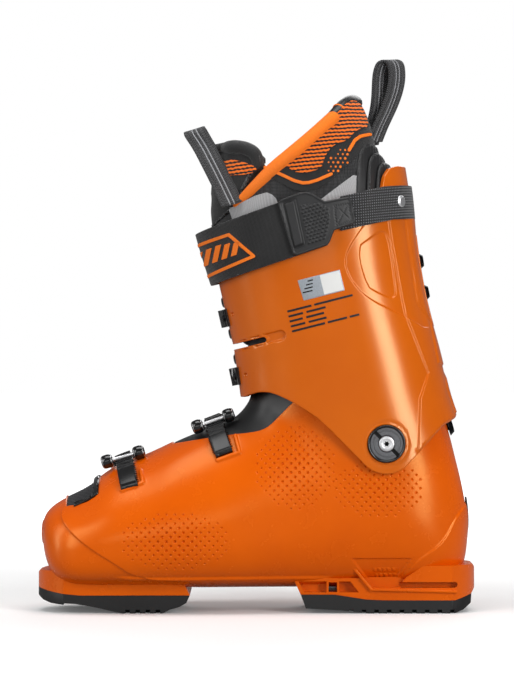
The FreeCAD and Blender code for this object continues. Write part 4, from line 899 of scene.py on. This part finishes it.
for side, label in ((-1, "medial"), (1, "lateral")):
    cant = f"{label}_cant"
    turned_on_pivot(f"{cant}_ring", cant, GLOSS_BLACK, side, RING, 64)
    face = turned_on_pivot(f"{cant}_face", cant, SATIN_METAL, side, FACE, 64, replaced=[f"{label}_cant_disc"])
    # The slot's cut walls take the near-black material: painted shade in the slot.
    carve(face, prism(DISC_SLOT, "Y", *sorted((side * 50.2, side * 60))), inside=SLOT_SHADE_AND_PRINT_BLACK)
    head = turned_on_pivot(f"{label}_pivot_screw", "lower_boot", STEEL, side, SCREW_HEAD, 48,
                           replaced=["pivot_screws"])
    carve(head, prism(STAR, "Y", *sorted((side * 51.6, side * 60))))
    for piece in (face, head):
        softened(piece, 0.12, 30, 2)
    # Painted shade: a dark disc on the floor of the star recess in the screw's head.
    turned_on_pivot(f"{label}_star_recess_shade", "lower_boot", DARK_METAL, side, STAR_RECESS_SHADE, 24)

# Caps on the ends of the wire loops.
CAPS = {
    "toe": ((0.961, 0, 0.276), (-107.37, -12.03, 107.49), (-84.65, -12.03, 114.0)),
    "instep": ((0.94, 0, 0.342), (-42.24, -13.31, 132.7), (-20.03, -13.31, 140.78)),
    "mid": ((-0.208, 0, 0.978), (-11.87, 33.35, 181.32), (-6.96, 33.35, 158.2)),
    "top": ((-0.225, 0, 0.974), (-15.52, 33.47, 200.14), (-20.84, 33.47, 223.17)),
}
HALF_CAP = [(-4.3, 2.4), (-4.1, 3.3), (-3.6, 4.2), (-2.6, 4.8), (-0.9, 5.0)]
CAP_PROFILE = HALF_CAP + [(-t, r) for t, r in reversed(HALF_CAP)]
for place, (axis, *centres) in CAPS.items():
    for k, centre in enumerate(centres):
        lathe(f"{place}_loop_cap_{k}", f"{place}_wire_loop", GLOSS_BLACK, centre, axis, CAP_PROFILE)

# Toothed ladders of the two lower buckles, over the crest of the foot.
for place, (cx, cz), (ax, az), end, teeth in (
    ("toe", (-92.5, 98.5), (0.961, 0.276), -8.3, (-22.5, -17.5, -12.5, -7.5, -2.5)),
    ("instep", (-24.5, 118.5), (0.94, 0.342), -4.6, (-22, -17, -12, -7, -2)),
):
    def ladder_zone(x, y, z):
        """Strip across the foot, down the inner side."""
        sideways = 6.3 - np.abs((x - cx) * ax + (z - cz) * az)
        up = (z - cz) * ax - (x - cx) * az - end
        return np.minimum(np.minimum(sideways, up), 3 - y)

    def tooth_relief(p, n):
        """Teeth of the ladder, with a block on the crest and a thin end."""
        nearest = np.min([np.abs(p[:, 1] - t) for t in teeth], axis=0)
        up = (p[:, 2] - cz) * ax - (p[:, 0] - cx) * az - end
        tooth = 1.7 * (1 - ramp(0.5, 1.3, nearest))
        over_rivets = 1.6 * ramp(-24.2, -25.6, p[:, 1])
        thin_end = -1.0 * (1 - ramp(1.0, 2.6, up))
        crest_block = 2.8 * (1 - ramp(3.2, 4.2, np.abs(p[:, 1] + 3.4)))
        return tooth + over_rivets + thin_end + crest_block

    ladder = shell_patch(f"{place}_ladder_strip", SATIN_BLACK, -2.4, ladder_zone, 2.4, 0.4, 0.5,
                         replaced=[f"{place}_ladder"])
    displace(ladder, tooth_relief)


def dam_area(x, y, z):
    """Zone of the black insert in the toe window."""
    return np.minimum(depth_in(TOE_WINDOW, x, z) + 0.6, 34.6 - np.abs(y))


LIP = [(-128, 78), (-116, 81.2), (-114.6, 87), (-115.6, 100)]
toe_dam = shell_patch("toe_dam_pad", RUBBER_DAM, 0.9, dam_area, 2.0, 0.6, 1.2, replaced=["toe_dam"])
displace(toe_dam, lambda p, n: 0.35 * np.sin(p[:, 0] * 2.1) * np.sin(p[:, 1] * 1.2))
shell_patch("toe_dam_lip", GLOSS_BLACK, -1.6,
            lambda x, y, z: np.minimum(dam_area(x, y, z), 2.6 - line_distance(LIP, x, z)), 6.4, 1.2, 0.9)

DAM = [(-59.4, 121.1)] + [(x, z - 3) for x, z in FLAP_EDGE[1:-2]] + [(30, 158.5), (-8, 158.5), (-59.4, 140)]
shell_patch("instep_dam_skin", DAM_BLACK, 1, lambda x, y, z: depth_in(DAM, x, z), 2.4, 0.5, 1.6,
            replaced=["instep_dam"])


def foot_zone(x, y, z):
    """Foot part of the liner, up to the line where the collar starts."""
    split = depth_in([(-30, 152), (140, 188), (140, 400), (-30, 400)], x, z)
    return np.minimum(z - 28.2, -split)


sock = shell_patch("liner_foot_shell", LINING, 4.9, foot_zone, 5.5, 1.6, 2.2, replaced=["liner_foot"])

# Insole: a thin foam sheet that fills the liner's floor, cupped at the heel and pierced at the ball.
inner_shell = grid_tree(shell_grid(11.3, 3))
INSOLE_TOP = 35.6
reach_x = np.arange(-131, 127.1, 2)
reach_y = [[hit.y if hit else 0.5 for hit in
            (inner_shell.ray_cast(Vector((x, 0.5, INSOLE_TOP)), Vector((0, way, 0)))[0] for way in (-1, 1))]
           for x in reach_x]


def insole_sides(x):
    """Where the liner's floor ends on the inner and on the outer side."""
    return [np.interp(x, reach_x, side) for side in np.transpose(reach_y)]


insole_x, insole_y = np.meshgrid(np.arange(-131.5, 128, 1.5), np.arange(-44, 46, 1.5), indexing="ij")
low, high = insole_sides(insole_x)
ends = np.minimum(insole_x + 131, 127 - insole_x)
insole_keep = np.minimum(np.minimum(insole_y - low, high - insole_y), ends) - 0.4
flat = np.stack([insole_x, insole_y, np.full(insole_x.shape, INSOLE_TOP)], -1)
upward = np.zeros(flat.shape)
upward[..., 2] = 1
insole = solid("insole_sheet", "lower_boot", INSOLE_CLOTH, trim(flat, upward, insole_keep, 1.5, closed=False),
               1.4, 0.6, replaced=["footbed"])


def insole_relief(p, n):
    """Cupped heel, a seam along the edge and pierced foam at the ball."""
    x, y, z = p.T
    low, high = insole_sides(x)
    edge = np.minimum(y - low, high - y)
    cup = 1.1 * (1 - ramp(1, 12, edge)) * ramp(-20, 60, x)
    seam = 0.5 * (1 - ramp(0.3, 0.9, np.abs(edge - 7)))
    pores = np.hypot((x + 3.5) % 7 - 3.5, (y + 3.5) % 7 - 3.5)
    pores = 0.6 * (1 - ramp(0.7, 1.3, pores)) * (x < -35) * (edge > 9)
    return cup - seam - pores


refine(insole, lambda centres: centres[:, 0] < -33, 2)
displace(insole, insole_relief)

# ---------------------------------------------------------------- liner collar

COLLAR = [
    ((-2, 168), (124, 186), 0.50, 49.4, 50.5, 2.3, 2.3),
    ((-9.5, 190), (119, 206), 0.50, 50.4, 52.8, 2.25, 2.3),
    ((-18, 220), (111.5, 236), 0.50, 51.8, 54.8, 2.2, 2.3),
    ((-25, 248), (105, 268), 0.50, 52.6, 56, 2.2, 2.3),
    ((-32.5, 274), (98, 297), 0.50, 53, 56, 2.2, 2.3),
    ((-34, 298), (89.5, 323), 0.50, 53, 55.5, 2.2, 2.3),
    ((-32, 322), (82.5, 348), 0.50, 52.5, 54.5, 2.2, 2.3),
    ((-28, 348), (72, 374), 0.50, 51.5, 53, 2.2, 2.3),
]
STRAP = []  # the cuff's upper stations, with the front drawn out over the padded tongue
for front, rear, *rest in CUFF[5:]:
    reach = 1.5 * max(0, min(4, (front[1] - 196) / 18))
    STRAP.append(((front[0] - reach, front[1]), rear, *rest))
FAMILIES.update(collar=COLLAR, strap=STRAP)

COLLAR_LINE = [(-38, 274), (-17, 292), (10, 315), (54, 353), (60, 360), (66, 365.4), (72, 367), (95, 367)]
WRAP = COLLAR_LINE + [(140, 330), (140, 150), (-6, 150), (-8, 262)]
collar = patch("liner_collar", MESH, "collar", 0, within(WRAP, 0, 0), 10, 3.6, 1.9,
               replaced=["liner_cuff"])


def folds(strength, lean):
    """Shallow creases of padded cloth, deepest where two waves meet."""
    def height(p, n):
        x, y, z = p.T
        a = np.sin((z + lean * np.abs(y)) * 0.21 + np.sin(x * 0.09) * 1.4)
        b = np.sin((x - 0.6 * z) * 0.13 + np.sin(z * 0.07 + y * 0.05) * 1.7)
        return -strength * np.clip(a * b, 0, 1) ** 0.8
    return height


displace(collar, folds(0.9, 0.3))

PANEL_KNIT = [(19, 318.5), (30.4, 311.8), (45.7, 315.7), (48.1, 323.9), (53.8, 332.7), (65.1, 336.7),
              (71.6, 344.9), (81, 347), (79, 358), (74, 366), (66, 366), (54, 352), (34, 334)]
BAND = [(6, 311), (16, 306), (30, 299), (46, 302), (58, 313), (70, 324), (82, 336), (84, 350), (79, 358),
        (70, 368), (60, 360), (10, 315)]
patch("collar_band", KNIT, "collar", -0.5, within(BAND), 0.8, 0.35, 1.0)
patch("collar_knit_panel", STRIPED, "collar", -1.0, within(PANEL_KNIT), 0.8, 0.35, 1.0)
THIN = [(6, 317), (15, 312.9), (30.3, 305.6), (39.2, 306.1), (53, 312.2)]
THIN_BACK = [(65.9, 329.6), (71.6, 339.2), (82, 342.4)]
for label, line in (("front", THIN), ("back", THIN_BACK)):
    patch(f"collar_line_{label}", PIPING, "collar", -1.1, ribbon(rounded(line, 1), 1.15), 0.8, 0.3, 0.8)
# Centres of the printed dots: staggered rows, kept only along a slanting band.
spots = [(51 + 3.4 * i + 1.7 * (j % 2), 314.5 + 3.0 * j) for j in range(6) for i in range(6)]
spots = [(x, z) for x, z in spots if abs((z - 314) - (x - 50) * 0.95) < 7.5 and x < 66]


def dots_zone(x, y, z):
    """Scattered round dots of three sizes."""
    near = np.full(x.shape, -9.0)
    for k, (cx, cz) in enumerate(spots):
        near = np.maximum(near, 0.62 + 0.3 * ((k * 7) % 3) / 2 - np.hypot(x - cx, z - cz))
    return near


patch("collar_dots", PIPING, "collar", -0.7, dots_zone, 0.3, 0.08, 0.45)
GREY_PATCHES = [[(-20, 288), (5.2, 300), (13, 296.8), (16, 289), (-15.5, 276)],
                [(44, 293), (57, 303), (73, 315), (73, 298), (54, 290)]]
for k, outline in enumerate(GREY_PATCHES):
    patch(f"collar_grey_{k}", GREY_CLOTH, "collar", -0.4, within(outline), 0.6, 0.25, 1.0)

# Tongue.
TONGUE = [(-60, 181), (-8.4, 176), (-8.4, 250), (-4, 262), (-8, 300), (2, 318), (4, 324), (-2, 329),
          (-8, 332), (-16, 333.5), (-24, 333), (-32, 330), (-60, 326)]
tongue = patch("tongue_pad", KNIT, "collar", 1.0, within(TONGUE, 0, 0), 14, 4.5, 1.9,
               replaced=["liner_tongue"])
displace(tongue, folds(0.9, -0.4))
TONGUE_KNIT = [(-30, 322), (-20, 324), (-8, 321), (2, 316), (-6, 312), (-20, 312), (-30, 312)]
patch("tongue_knit", STRIPED, "collar", 0.4, within(TONGUE_KNIT), 0.8, 0.35, 1.0)

# ---------------------------------------------------------------- tubes, webbing


def on_side(tree, x, z, side):
    """Point of a surface on one side of the boot, at a place in side view."""
    hit = tree.ray_cast(Vector((x, side * 200, z)), Vector((0, -side, 0)))[0]
    return np.array(hit or tree.find_nearest(Vector((x, side * 18, z)))[0])


def tube(name, material, path, radii, squash, **more):
    """Round-ended tube of the cuff's body along a smooth line, with a radius at each of its points."""
    path, radii = np.array(path, float), np.broadcast_to(np.array(radii, float), (len(path),))
    t = np.concatenate([[0], np.cumsum(np.linalg.norm(np.diff(path, axis=0), axis=1))])
    marks = np.linspace(0, t[-1], max(8, int(t[-1] / 1.8)))
    line = spline(t, path, marks)
    radius = np.interp(marks, t, radii)
    ahead = np.gradient(line, axis=0)
    ahead /= np.linalg.norm(ahead, axis=1, keepdims=True)
    side = np.cross(ahead, [0, 1.0, 0])
    side /= np.linalg.norm(side, axis=1, keepdims=True) + 1e-9
    other = np.cross(side, ahead)
    ends = [(0, 0.3), (0, 0.7), (0, 0.93)] + [(k, 1) for k in range(len(line))]
    ends += [(len(line) - 1, 0.93), (len(line) - 1, 0.7), (len(line) - 1, 0.3)]
    around = 14
    vertices = []
    for k, (i, share) in enumerate(ends):
        bulge = math.sqrt(1 - share * share) * radius[i] * (-1 if k < 4 else 1)
        for j in range(around):
            a = 2 * math.pi * j / around
            offset = side[i] * math.cos(a) + other[i] * math.sin(a) * squash
            vertices.append(line[i] + ahead[i] * bulge + offset * radius[i] * share)
    return build(name, "cuff_unit", material, vertices, capped(len(ends), around), **more)


def strap(name, material, path, across, thick, **more):
    """Flat webbing of the cuff's body along a smooth line; across is its width vector at each point."""
    path, across = np.array(path, float), np.array(across, float)
    t = np.concatenate([[0], np.cumsum(np.linalg.norm(np.diff(path, axis=0), axis=1))])
    marks = np.linspace(0, t[-1], int(t[-1] / 1.2))
    line, wide = spline(t, path, marks), np.stack([np.interp(marks, t, across[:, i]) for i in range(3)], 1)
    ahead = np.gradient(line, axis=0)
    normal = np.cross(ahead, wide)
    normal /= np.linalg.norm(normal, axis=1, keepdims=True)
    profile = []
    steps = np.linspace(-0.5, 0.5, 13)
    half = thick / 2
    for u in steps:
        profile.append((u, half * (0.75 if abs(u) > 0.49 else 1.12 if abs(abs(u) - 0.42) < 0.05 else 1)))
    profile += [(u, -h) for u, h in reversed(profile)]
    vertices = [p + w * u + n * h for p, w, n in zip(line, wide, normal) for u, h in profile]
    count = len(profile)
    obj = build(name, "cuff_unit", material, vertices, capped(len(line), count), **more)
    shares = np.tile([u for u, h in profile], len(line))
    for label, values in (("across", shares), ("along", np.repeat(marks, count))):
        obj.data.attributes.new(label, "FLOAT", "POINT").data.foreach_set("value", values.astype(np.float32))
    return obj


PIPING_LINE = [(-14, 291.5), (-2.5, 302), (10, 314), (30, 330.5), (54, 352)]
SLEEVE_LINE = [(53, 351), (57, 355.8), (60.5, 359.8), (63.5, 362.8), (66, 364.7), (68.2, 365.8)]
TONGUE_RIM_LINE = [(1, 319), (-1, 326), (-8, 330.5), (-17, 332), (-25, 331)]
RING_BAND = [(-0.7, 4.4), (-0.7, 5.4), (-0.35, 5.6), (0.35, 5.6), (0.7, 5.4), (0.7, 4.4), (-0.7, 4.4)]
mid_collar = grid_tree(family("collar", 4.5, 3.0))
outer_collar = grid_tree(family("collar", 1.6, 3.0))
for side, label in ((-1, "medial"), (1, "lateral")):
    line = [on_side(outer_collar, x, z, side) for x, z in PIPING_LINE]
    tube(f"piping_{label}", PIPING, line, [3.0, 4.2, 4.9, 5.2, 5.1], 1.0, replaced=["collar_piping"])
    line = [on_side(mid_collar, x, z, side) for x, z in SLEEVE_LINE]
    across_band = line[2] - line[1]
    lathe(f"rim_ring_{label}", "cuff_unit", PIPING, line[2] * 0.6 + line[1] * 0.4, across_band, RING_BAND)
    line += [np.array([70.6, side * 9.0, 366.3]), np.array([71.4, 0, 366.4])]
    tube(f"rim_sleeve_{label}", SLEEVE, line, 5.0, 1.08)
    line = [on_side(mid_collar, x, z, side) for x, z in TONGUE_RIM_LINE]
    line += [np.array([-27.3, side * 15.0, 330.6]), np.array([-28, 0, 330])]
    tube(f"tongue_rim_{label}", KNIT, line, [4.2, 5, 5.4, 5.6, 5.6, 5.4, 5.4], 1.1)

loop_wide = np.array([0.95, 0.12, 0.3]) * 15.5
TONGUE_LOOP = [(-17, -45, 291), (-25, -37, 308), (-33, -30, 324), (-40.5, -24, 337.5),
               (-44.6, -20.5, 344.6), (-44.4, -17.5, 345.6), (-41.5, -16.5, 341), (-35.5, -15, 331),
               (-28, -12, 319), (-23, -8, 309)]
strap("tongue_pull", WEBBING, TONGUE_LOOP, [loop_wide] * len(TONGUE_LOOP), 1.7, replaced=["tongue_loop"])
HEEL_LOOP = [(82.5, 3, 336), (85.5, 3, 350), (88.8, 1, 366), (89.8, 0, 382), (91.2, 0, 391.5),
             (94.6, 0, 396.6), (99, 0, 396.4), (101.6, 0, 390), (100.6, 0, 377), (95.5, -1, 362),
             (89, -3, 348), (85, -3, 338)]
wide = [np.array([0.74, 0.66, 0.08]) * 16] * 12
strap("heel_pull", WEBBING, HEEL_LOOP, wide, 1.9, replaced=["heel_loop"])

# ---------------------------------------------------------------- power strap

BAND_REAR = {"medial": [(31, 255), (31, 297.2)], "lateral": [(66, 264), (66, 302)]}
BAND_MEDIAL, BAND_LATERAL = (
    [(-60, 225.2), (-36, 233), (24, 252.6), *rear, (15.5, 291.7), (-44.5, 271), (-60, 266)]
    for rear in BAND_REAR.values())


def two_sided(medial, lateral):
    """Zone with one side-view outline on the inner side and another on the outer side."""
    return lambda x, y, z: np.where(y < 0, depth_in(medial, x, z), depth_in(lateral, x, z))


band = patch("power_strap_band", ELASTIC, "strap", -3.0, two_sided(BAND_MEDIAL, BAND_LATERAL), 2.5, 0.7, 1.3,
              replaced=["power_strap"])
displace(band, lambda p, n: 0.35 * np.sin(p[:, 0] * 0.16 + p[:, 2] * 0.05) * np.sin(p[:, 2] * 0.11))
PRINT = [(-60, 257), (-40, 263.4), (-19.8, 269.4), (-2, 254), (-35.1, 240.6), (-60, 231)]
patch("strap_print_outline", PIPING, "strap", -3.45, ribbon(PRINT, 1.15, -1), 0.2, 0.08, 0.6)
for k in range(5):
    x, z = -45.5 + 6.8 * k, 245.2 + 2.2 * k
    tall = 12 - 1.3 * max(0, k - 2)
    bar = [(x, z), (x + 4.1, z + 1.2), (x + 4.1 + tall * 0.22, z + 1.2 + tall), (x + tall * 0.22, z + tall)]
    patch(f"strap_print_bar_{k}", PIPING, "strap", -3.45, within(bar, -1, 0), 0.2, 0.08, 0.6)
WEB_REAR = [(77, 275.8), (98, 280.6), (125, 283), (125, 307), (104, 305.2), (91, 303.8), (66, 297.6)]
WEB_MEDIAL = [(59, 271.6), *WEB_REAR, (59, 296)]
WEB_LATERAL = [(67, 273.4), *WEB_REAR, (67, 297.8)]
patch("rear_webbing", RIBBED, "strap", -2.4, two_sided(WEB_MEDIAL, WEB_LATERAL), 1.9, 0.5, 1.2,
      replaced=["strap_webbing"])

TAB = [(14.7, 291.5), (17.4, 293.8), (30.3, 298.4), (35.2, 299), (40.1, 297.4), (47.9, 292.5),
       (65.5, 295.8), (67.1, 292.5), (69.9, 279.9), (69.4, 276.9), (54.8, 272), (51.8, 264.2),
       (49.9, 261.3), (28.4, 254), (25.5, 255.4), (23.5, 262.2)]
BAR = [(19.6, 290.6), (26.8, 292.9), (33.3, 262.3), (26.8, 259.9)]
SCALES = [(30.3, 289.6), (44, 292), (51.5, 287), (51.5, 274), (47.9, 265.2), (36.2, 261.5)]
CROSS = [(54.8, 289), (64.6, 291), (67, 279.4), (56.3, 274.8)]


def tab_relief(p, n):
    """Raised rim, bar and bumps of the rubber tab, and its stitched cross."""
    x, y, z = p.T
    rim = depth_in(TAB, x, z)
    move = 0.8 * (1 - ramp(1.0, 1.5, rim)) - 0.3
    bar = depth_in(BAR, x, z)
    move = move + 1.4 * ramp(0.0, 0.9, bar) - 0.6 * (1 - ramp(0.3, 0.8, np.abs(bar + 0.9)))
    pitch = 2.9
    u, w = (x + z * 0.3) / pitch, (z - x * 0.3) / pitch * 1.15
    row = np.round(w)
    shift = (row % 2) / 2
    d = np.hypot(u - np.round(u - shift) - shift, (w - row) / 1.15)
    move = move + 1.1 * (1 - ramp(0.08, 0.5, d)) * ramp(0, 0.8, depth_in(SCALES, x, z))
    seams = np.minimum(np.abs(depth_in(CROSS, x, z)), line_distance([CROSS[0], CROSS[2]], x, z))
    seams = np.minimum(seams, line_distance([CROSS[1], CROSS[3]], x, z))
    stitch = (1 - ramp(0.3, 0.7, seams)) * (depth_in(CROSS, x, z) > -1)
    dash = 0.5 + 0.5 * np.sin((x + z) * 2 * math.pi / 1.9)
    return move + stitch * (-0.7 + 0.9 * dash)


tab = patch("strap_tab_cover", SOFT_RUBBER, "strap", -6.1, within(TAB, -1, 0), 2.9, 0.6, 0.55,
            replaced=["strap_tab"])
displace(tab, tab_relief)

# ---------------------------------------------------------------- rear gaiter of the liner

GAITER = [(-1.0, [(70, 280), (71.5, 318), (74, 330), (80, 335.5), (88, 334), (130, 300), (130, 280)]),
          (-3.6, [(78, 280), (79.5, 312), (81, 324), (86, 330), (92, 326), (130, 290), (130, 280)]),
          (-6.4, [(84.5, 280), (86, 306), (88, 319), (91.5, 322.5), (97, 321), (130, 280)])]
for k, (depth, outline) in enumerate(GAITER):
    more = {"replaced": ["rear_spoiler"]} if k == 0 else {}
    piece = patch(f"gaiter_{k}", SOFT_RUBBER, "collar", depth, within(outline), 2.4, 1.0, 1.2,
                  slot="satin_black", **more)
    displace(piece, lambda p, n: 0.45 * np.sin(p[:, 0] * 2 * math.pi / 4.2) ** 2 * (np.abs(n[:, 1]) > 0.3))

# ---------------------------------------------------------------- sticker

LABEL = [(29, 236.8), (58.6, 244.4), (62.2, 229.9), (33.3, 222.6)]
HALF = [(44.5, 240.3), (58.1, 243.8), (61.4, 230.3), (47.8, 226.9)]
patch("label_base", SILVER, "cuff", -0.12, within(LABEL, -1, 0), 0.12, 0.04, 0.7, replaced=["info_label"])
patch("label_field", WHITE, "cuff", -0.2, within(HALF, -1, 0), 0.12, 0.04, 0.7)
for k in range(4):
    u, w = 32.5 + 1.1 * k, 228 + 2.7 * k
    bar = [(u, w + 0.6), (u + 7 - k, w + 2.3 - 0.2 * k), (u + 7.2 - k, w + 1.4 - 0.2 * k), (u + 0.3, w - 0.3)]
    patch(f"label_bar_{k}", SATIN_BLACK, "cuff", -0.22, within(bar, -1, 0), 0.1, 0.03, 0.4, slot="label_film")

# Plain printed dashes below the sticker: ends of the dashes of each line, along its slope.
PRINT_LINES = [((0, 17.5), (19.5, 47.5)), ((0, 10.5), (13, 27)), ((0, 9.5), (12, 25)), ((0, 10.5), (13, 26)),
               ((0, 24), (26, 40), (42, 49))]


def print_zone(x, y, z):
    """Zone of the printed dashes, on the inner side only."""
    best = np.full(x.shape, -9.0)
    for k, dashes in enumerate(PRINT_LINES):
        dx, dz = x - 21.8 - 0.83 * k, z - 214.9 + 3.5 * k
        u, w = dx * 0.969 + dz * 0.246, dz * 0.969 - dx * 0.246
        along = np.max([np.minimum(u - start, stop - u) for start, stop in dashes], axis=0)
        best = np.maximum(best, np.minimum(along, 0.75 - np.abs(w)))
    return np.minimum(best, -y)


patch("cuff_print_dashes", SLOT_SHADE_AND_PRINT_BLACK, "cuff", -0.22, print_zone, 0.25, 0.04, 0.4)

# ---------------------------------------------------------------- carried-over hardware

PLACES = ("toe", "instep", "mid", "top")
CARRIED = [
    (GLOSS_BLACK, ["mid_ladder", "top_ladder", *(f"{place}_lever" for place in PLACES)]),
    (SATIN_BLACK, ["boot_board", *(f"{place}_buckle_base" for place in PLACES)]),
    (STEEL, ["toe_sole_screws", "heel_sole_screws", "pivot_nuts", "strap_rivets",
             *(f"{place}_{kind}" for place in PLACES for kind in ("bail", "lever_pin"))]),
    (DARK_METAL, ["heel_bolt", "shell_rivets", "cuff_rivets", "spine_bolts"]),
    (SOLE, ["toe_sole", "heel_sole"]),
    (SOFT_RUBBER, ["heel_bumper", "spine_gasket"]),
    (CUFF_ORANGE, ["spine_plate"]),
]
EDGES = {"spine_bolts": 0.9, "heel_bolt": 1.2, "toe_sole": 0.5, "heel_sole": 0.5, "strap_rivets": 0.5}
USUAL_EDGE = 0.3
for look, names in CARRIED:
    for name in names:
        obj = nodes[name]
        obj.data.materials.clear()
        obj.data.materials.append(look)
        obj.modifiers.new("weld", "WELD").merge_threshold = 0.01 * MM
        bevelled(obj, EDGES.get(name, USUAL_EDGE), 32, 2)

# ---------------------------------------------------------------- floor, light, camera

floor_mesh = bpy.data.meshes.new("floor")
floor_mesh.from_pydata([(-9, -9, 0), (9, -9, 0), (9, 9, 0), (-9, 9, 0)], [], [(0, 1, 2, 3)])
floor = bpy.data.objects.new("floor", floor_mesh)
bpy.context.scene.collection.objects.link(floor)
floor_look = Nodes("floor_paper")
fibres = floor_look.range(floor_look.noise(300, 2), 0.2, 0.8)
paper = floor_look.mix(fibres, (0.84, 0.84, 0.84, 1), (0.87, 0.87, 0.87, 1))
# Painted light: the floor glows for camera rays only, faintly beside the boot and more strongly farther out,
# so that it reads as white paper; rays bouncing onto the boot see a darker grey floor.
looked_at = floor_look.add("ShaderNodeLightPath").outputs["Is Camera Ray"]
distance = floor_look.add("ShaderNodeVectorMath", {0: floor_look.place}, operation="LENGTH").outputs["Value"]
painted_floor_glow = floor_look.math("MULTIPLY", looked_at, floor_look.range(distance, 0.25, 1.3, 0.08, 0.9))
floor_mesh.materials.append(floor_look.finish(
    Base_Color=floor_look.mix(looked_at, (0.34, 0.34, 0.34, 1), paper), Roughness=0.9, Specular_IOR_Level=0.1,
    Emission_Color=(1, 1, 1, 1), Emission_Strength=painted_floor_glow))


def softbox(name, place, aim, width, height, power):
    """Rectangular light turned towards a point."""
    data = bpy.data.lights.new(name, "AREA")
    data.shape = "RECTANGLE"
    data.size, data.size_y = width, height
    data.energy = power
    lamp = bpy.data.objects.new(name, data)
    lamp.location = place
    lamp.rotation_euler = (Vector(aim) - Vector(place)).to_track_quat("-Z", "Y").to_euler()
    bpy.context.scene.collection.objects.link(lamp)


softbox("side_left", (-1.5, -0.35, 0.6), (0, 0, 0.2), 0.3, 1.2, 6)
softbox("front_left", (-1.3, -1.25, 0.75), (0, 0, 0.2), 0.35, 1.2, 9)
softbox("front_right", (1.15, -1.3, 0.5), (0.05, 0, 0.2), 0.5, 1.3, 23)
softbox("top", (0, -0.3, 1.7), (0, 0, 0.1), 1.5, 0.9, 17)
softbox("front", (-0.2, -2.3, 0.45), (0, 0, 0.08), 1.4, 0.3, 4)
softbox("back", (0.4, 1.7, 1.2), (0, 0, 0.2), 1.4, 0.9, 12)

world = bpy.data.worlds.new("studio")
bpy.context.scene.world = world
world.use_nodes = True
sky = world.node_tree
seen = sky.nodes.new("ShaderNodeLightPath").outputs["Is Camera Ray"]
strength = sky.nodes.new("ShaderNodeMapRange")
strength.inputs["To Min"].default_value = 0.17  # what the world adds to the boot
strength.inputs["To Max"].default_value = 1.0  # the white that the camera sees behind it
sky.links.new(seen, strength.inputs["Value"])
sky.links.new(strength.outputs["Result"], sky.nodes["Background"].inputs["Strength"])
sky.nodes["Background"].inputs["Color"].default_value = (1, 1, 1, 1)
bpy.context.scene.view_settings.view_transform = "Standard"

camera_data = bpy.data.cameras.new("camera")
camera_data.lens = 154.6
camera_data.sensor_width = 36
camera_data.clip_end = 50
camera = bpy.data.objects.new("camera", camera_data)
camera.location = (0.0004, -2.13, 0.1931)
camera.rotation_euler = (math.pi / 2, 0, 0)
bpy.context.scene.collection.objects.link(camera)
bpy.context.scene.camera = camera

bpy.context.view_layer.update()
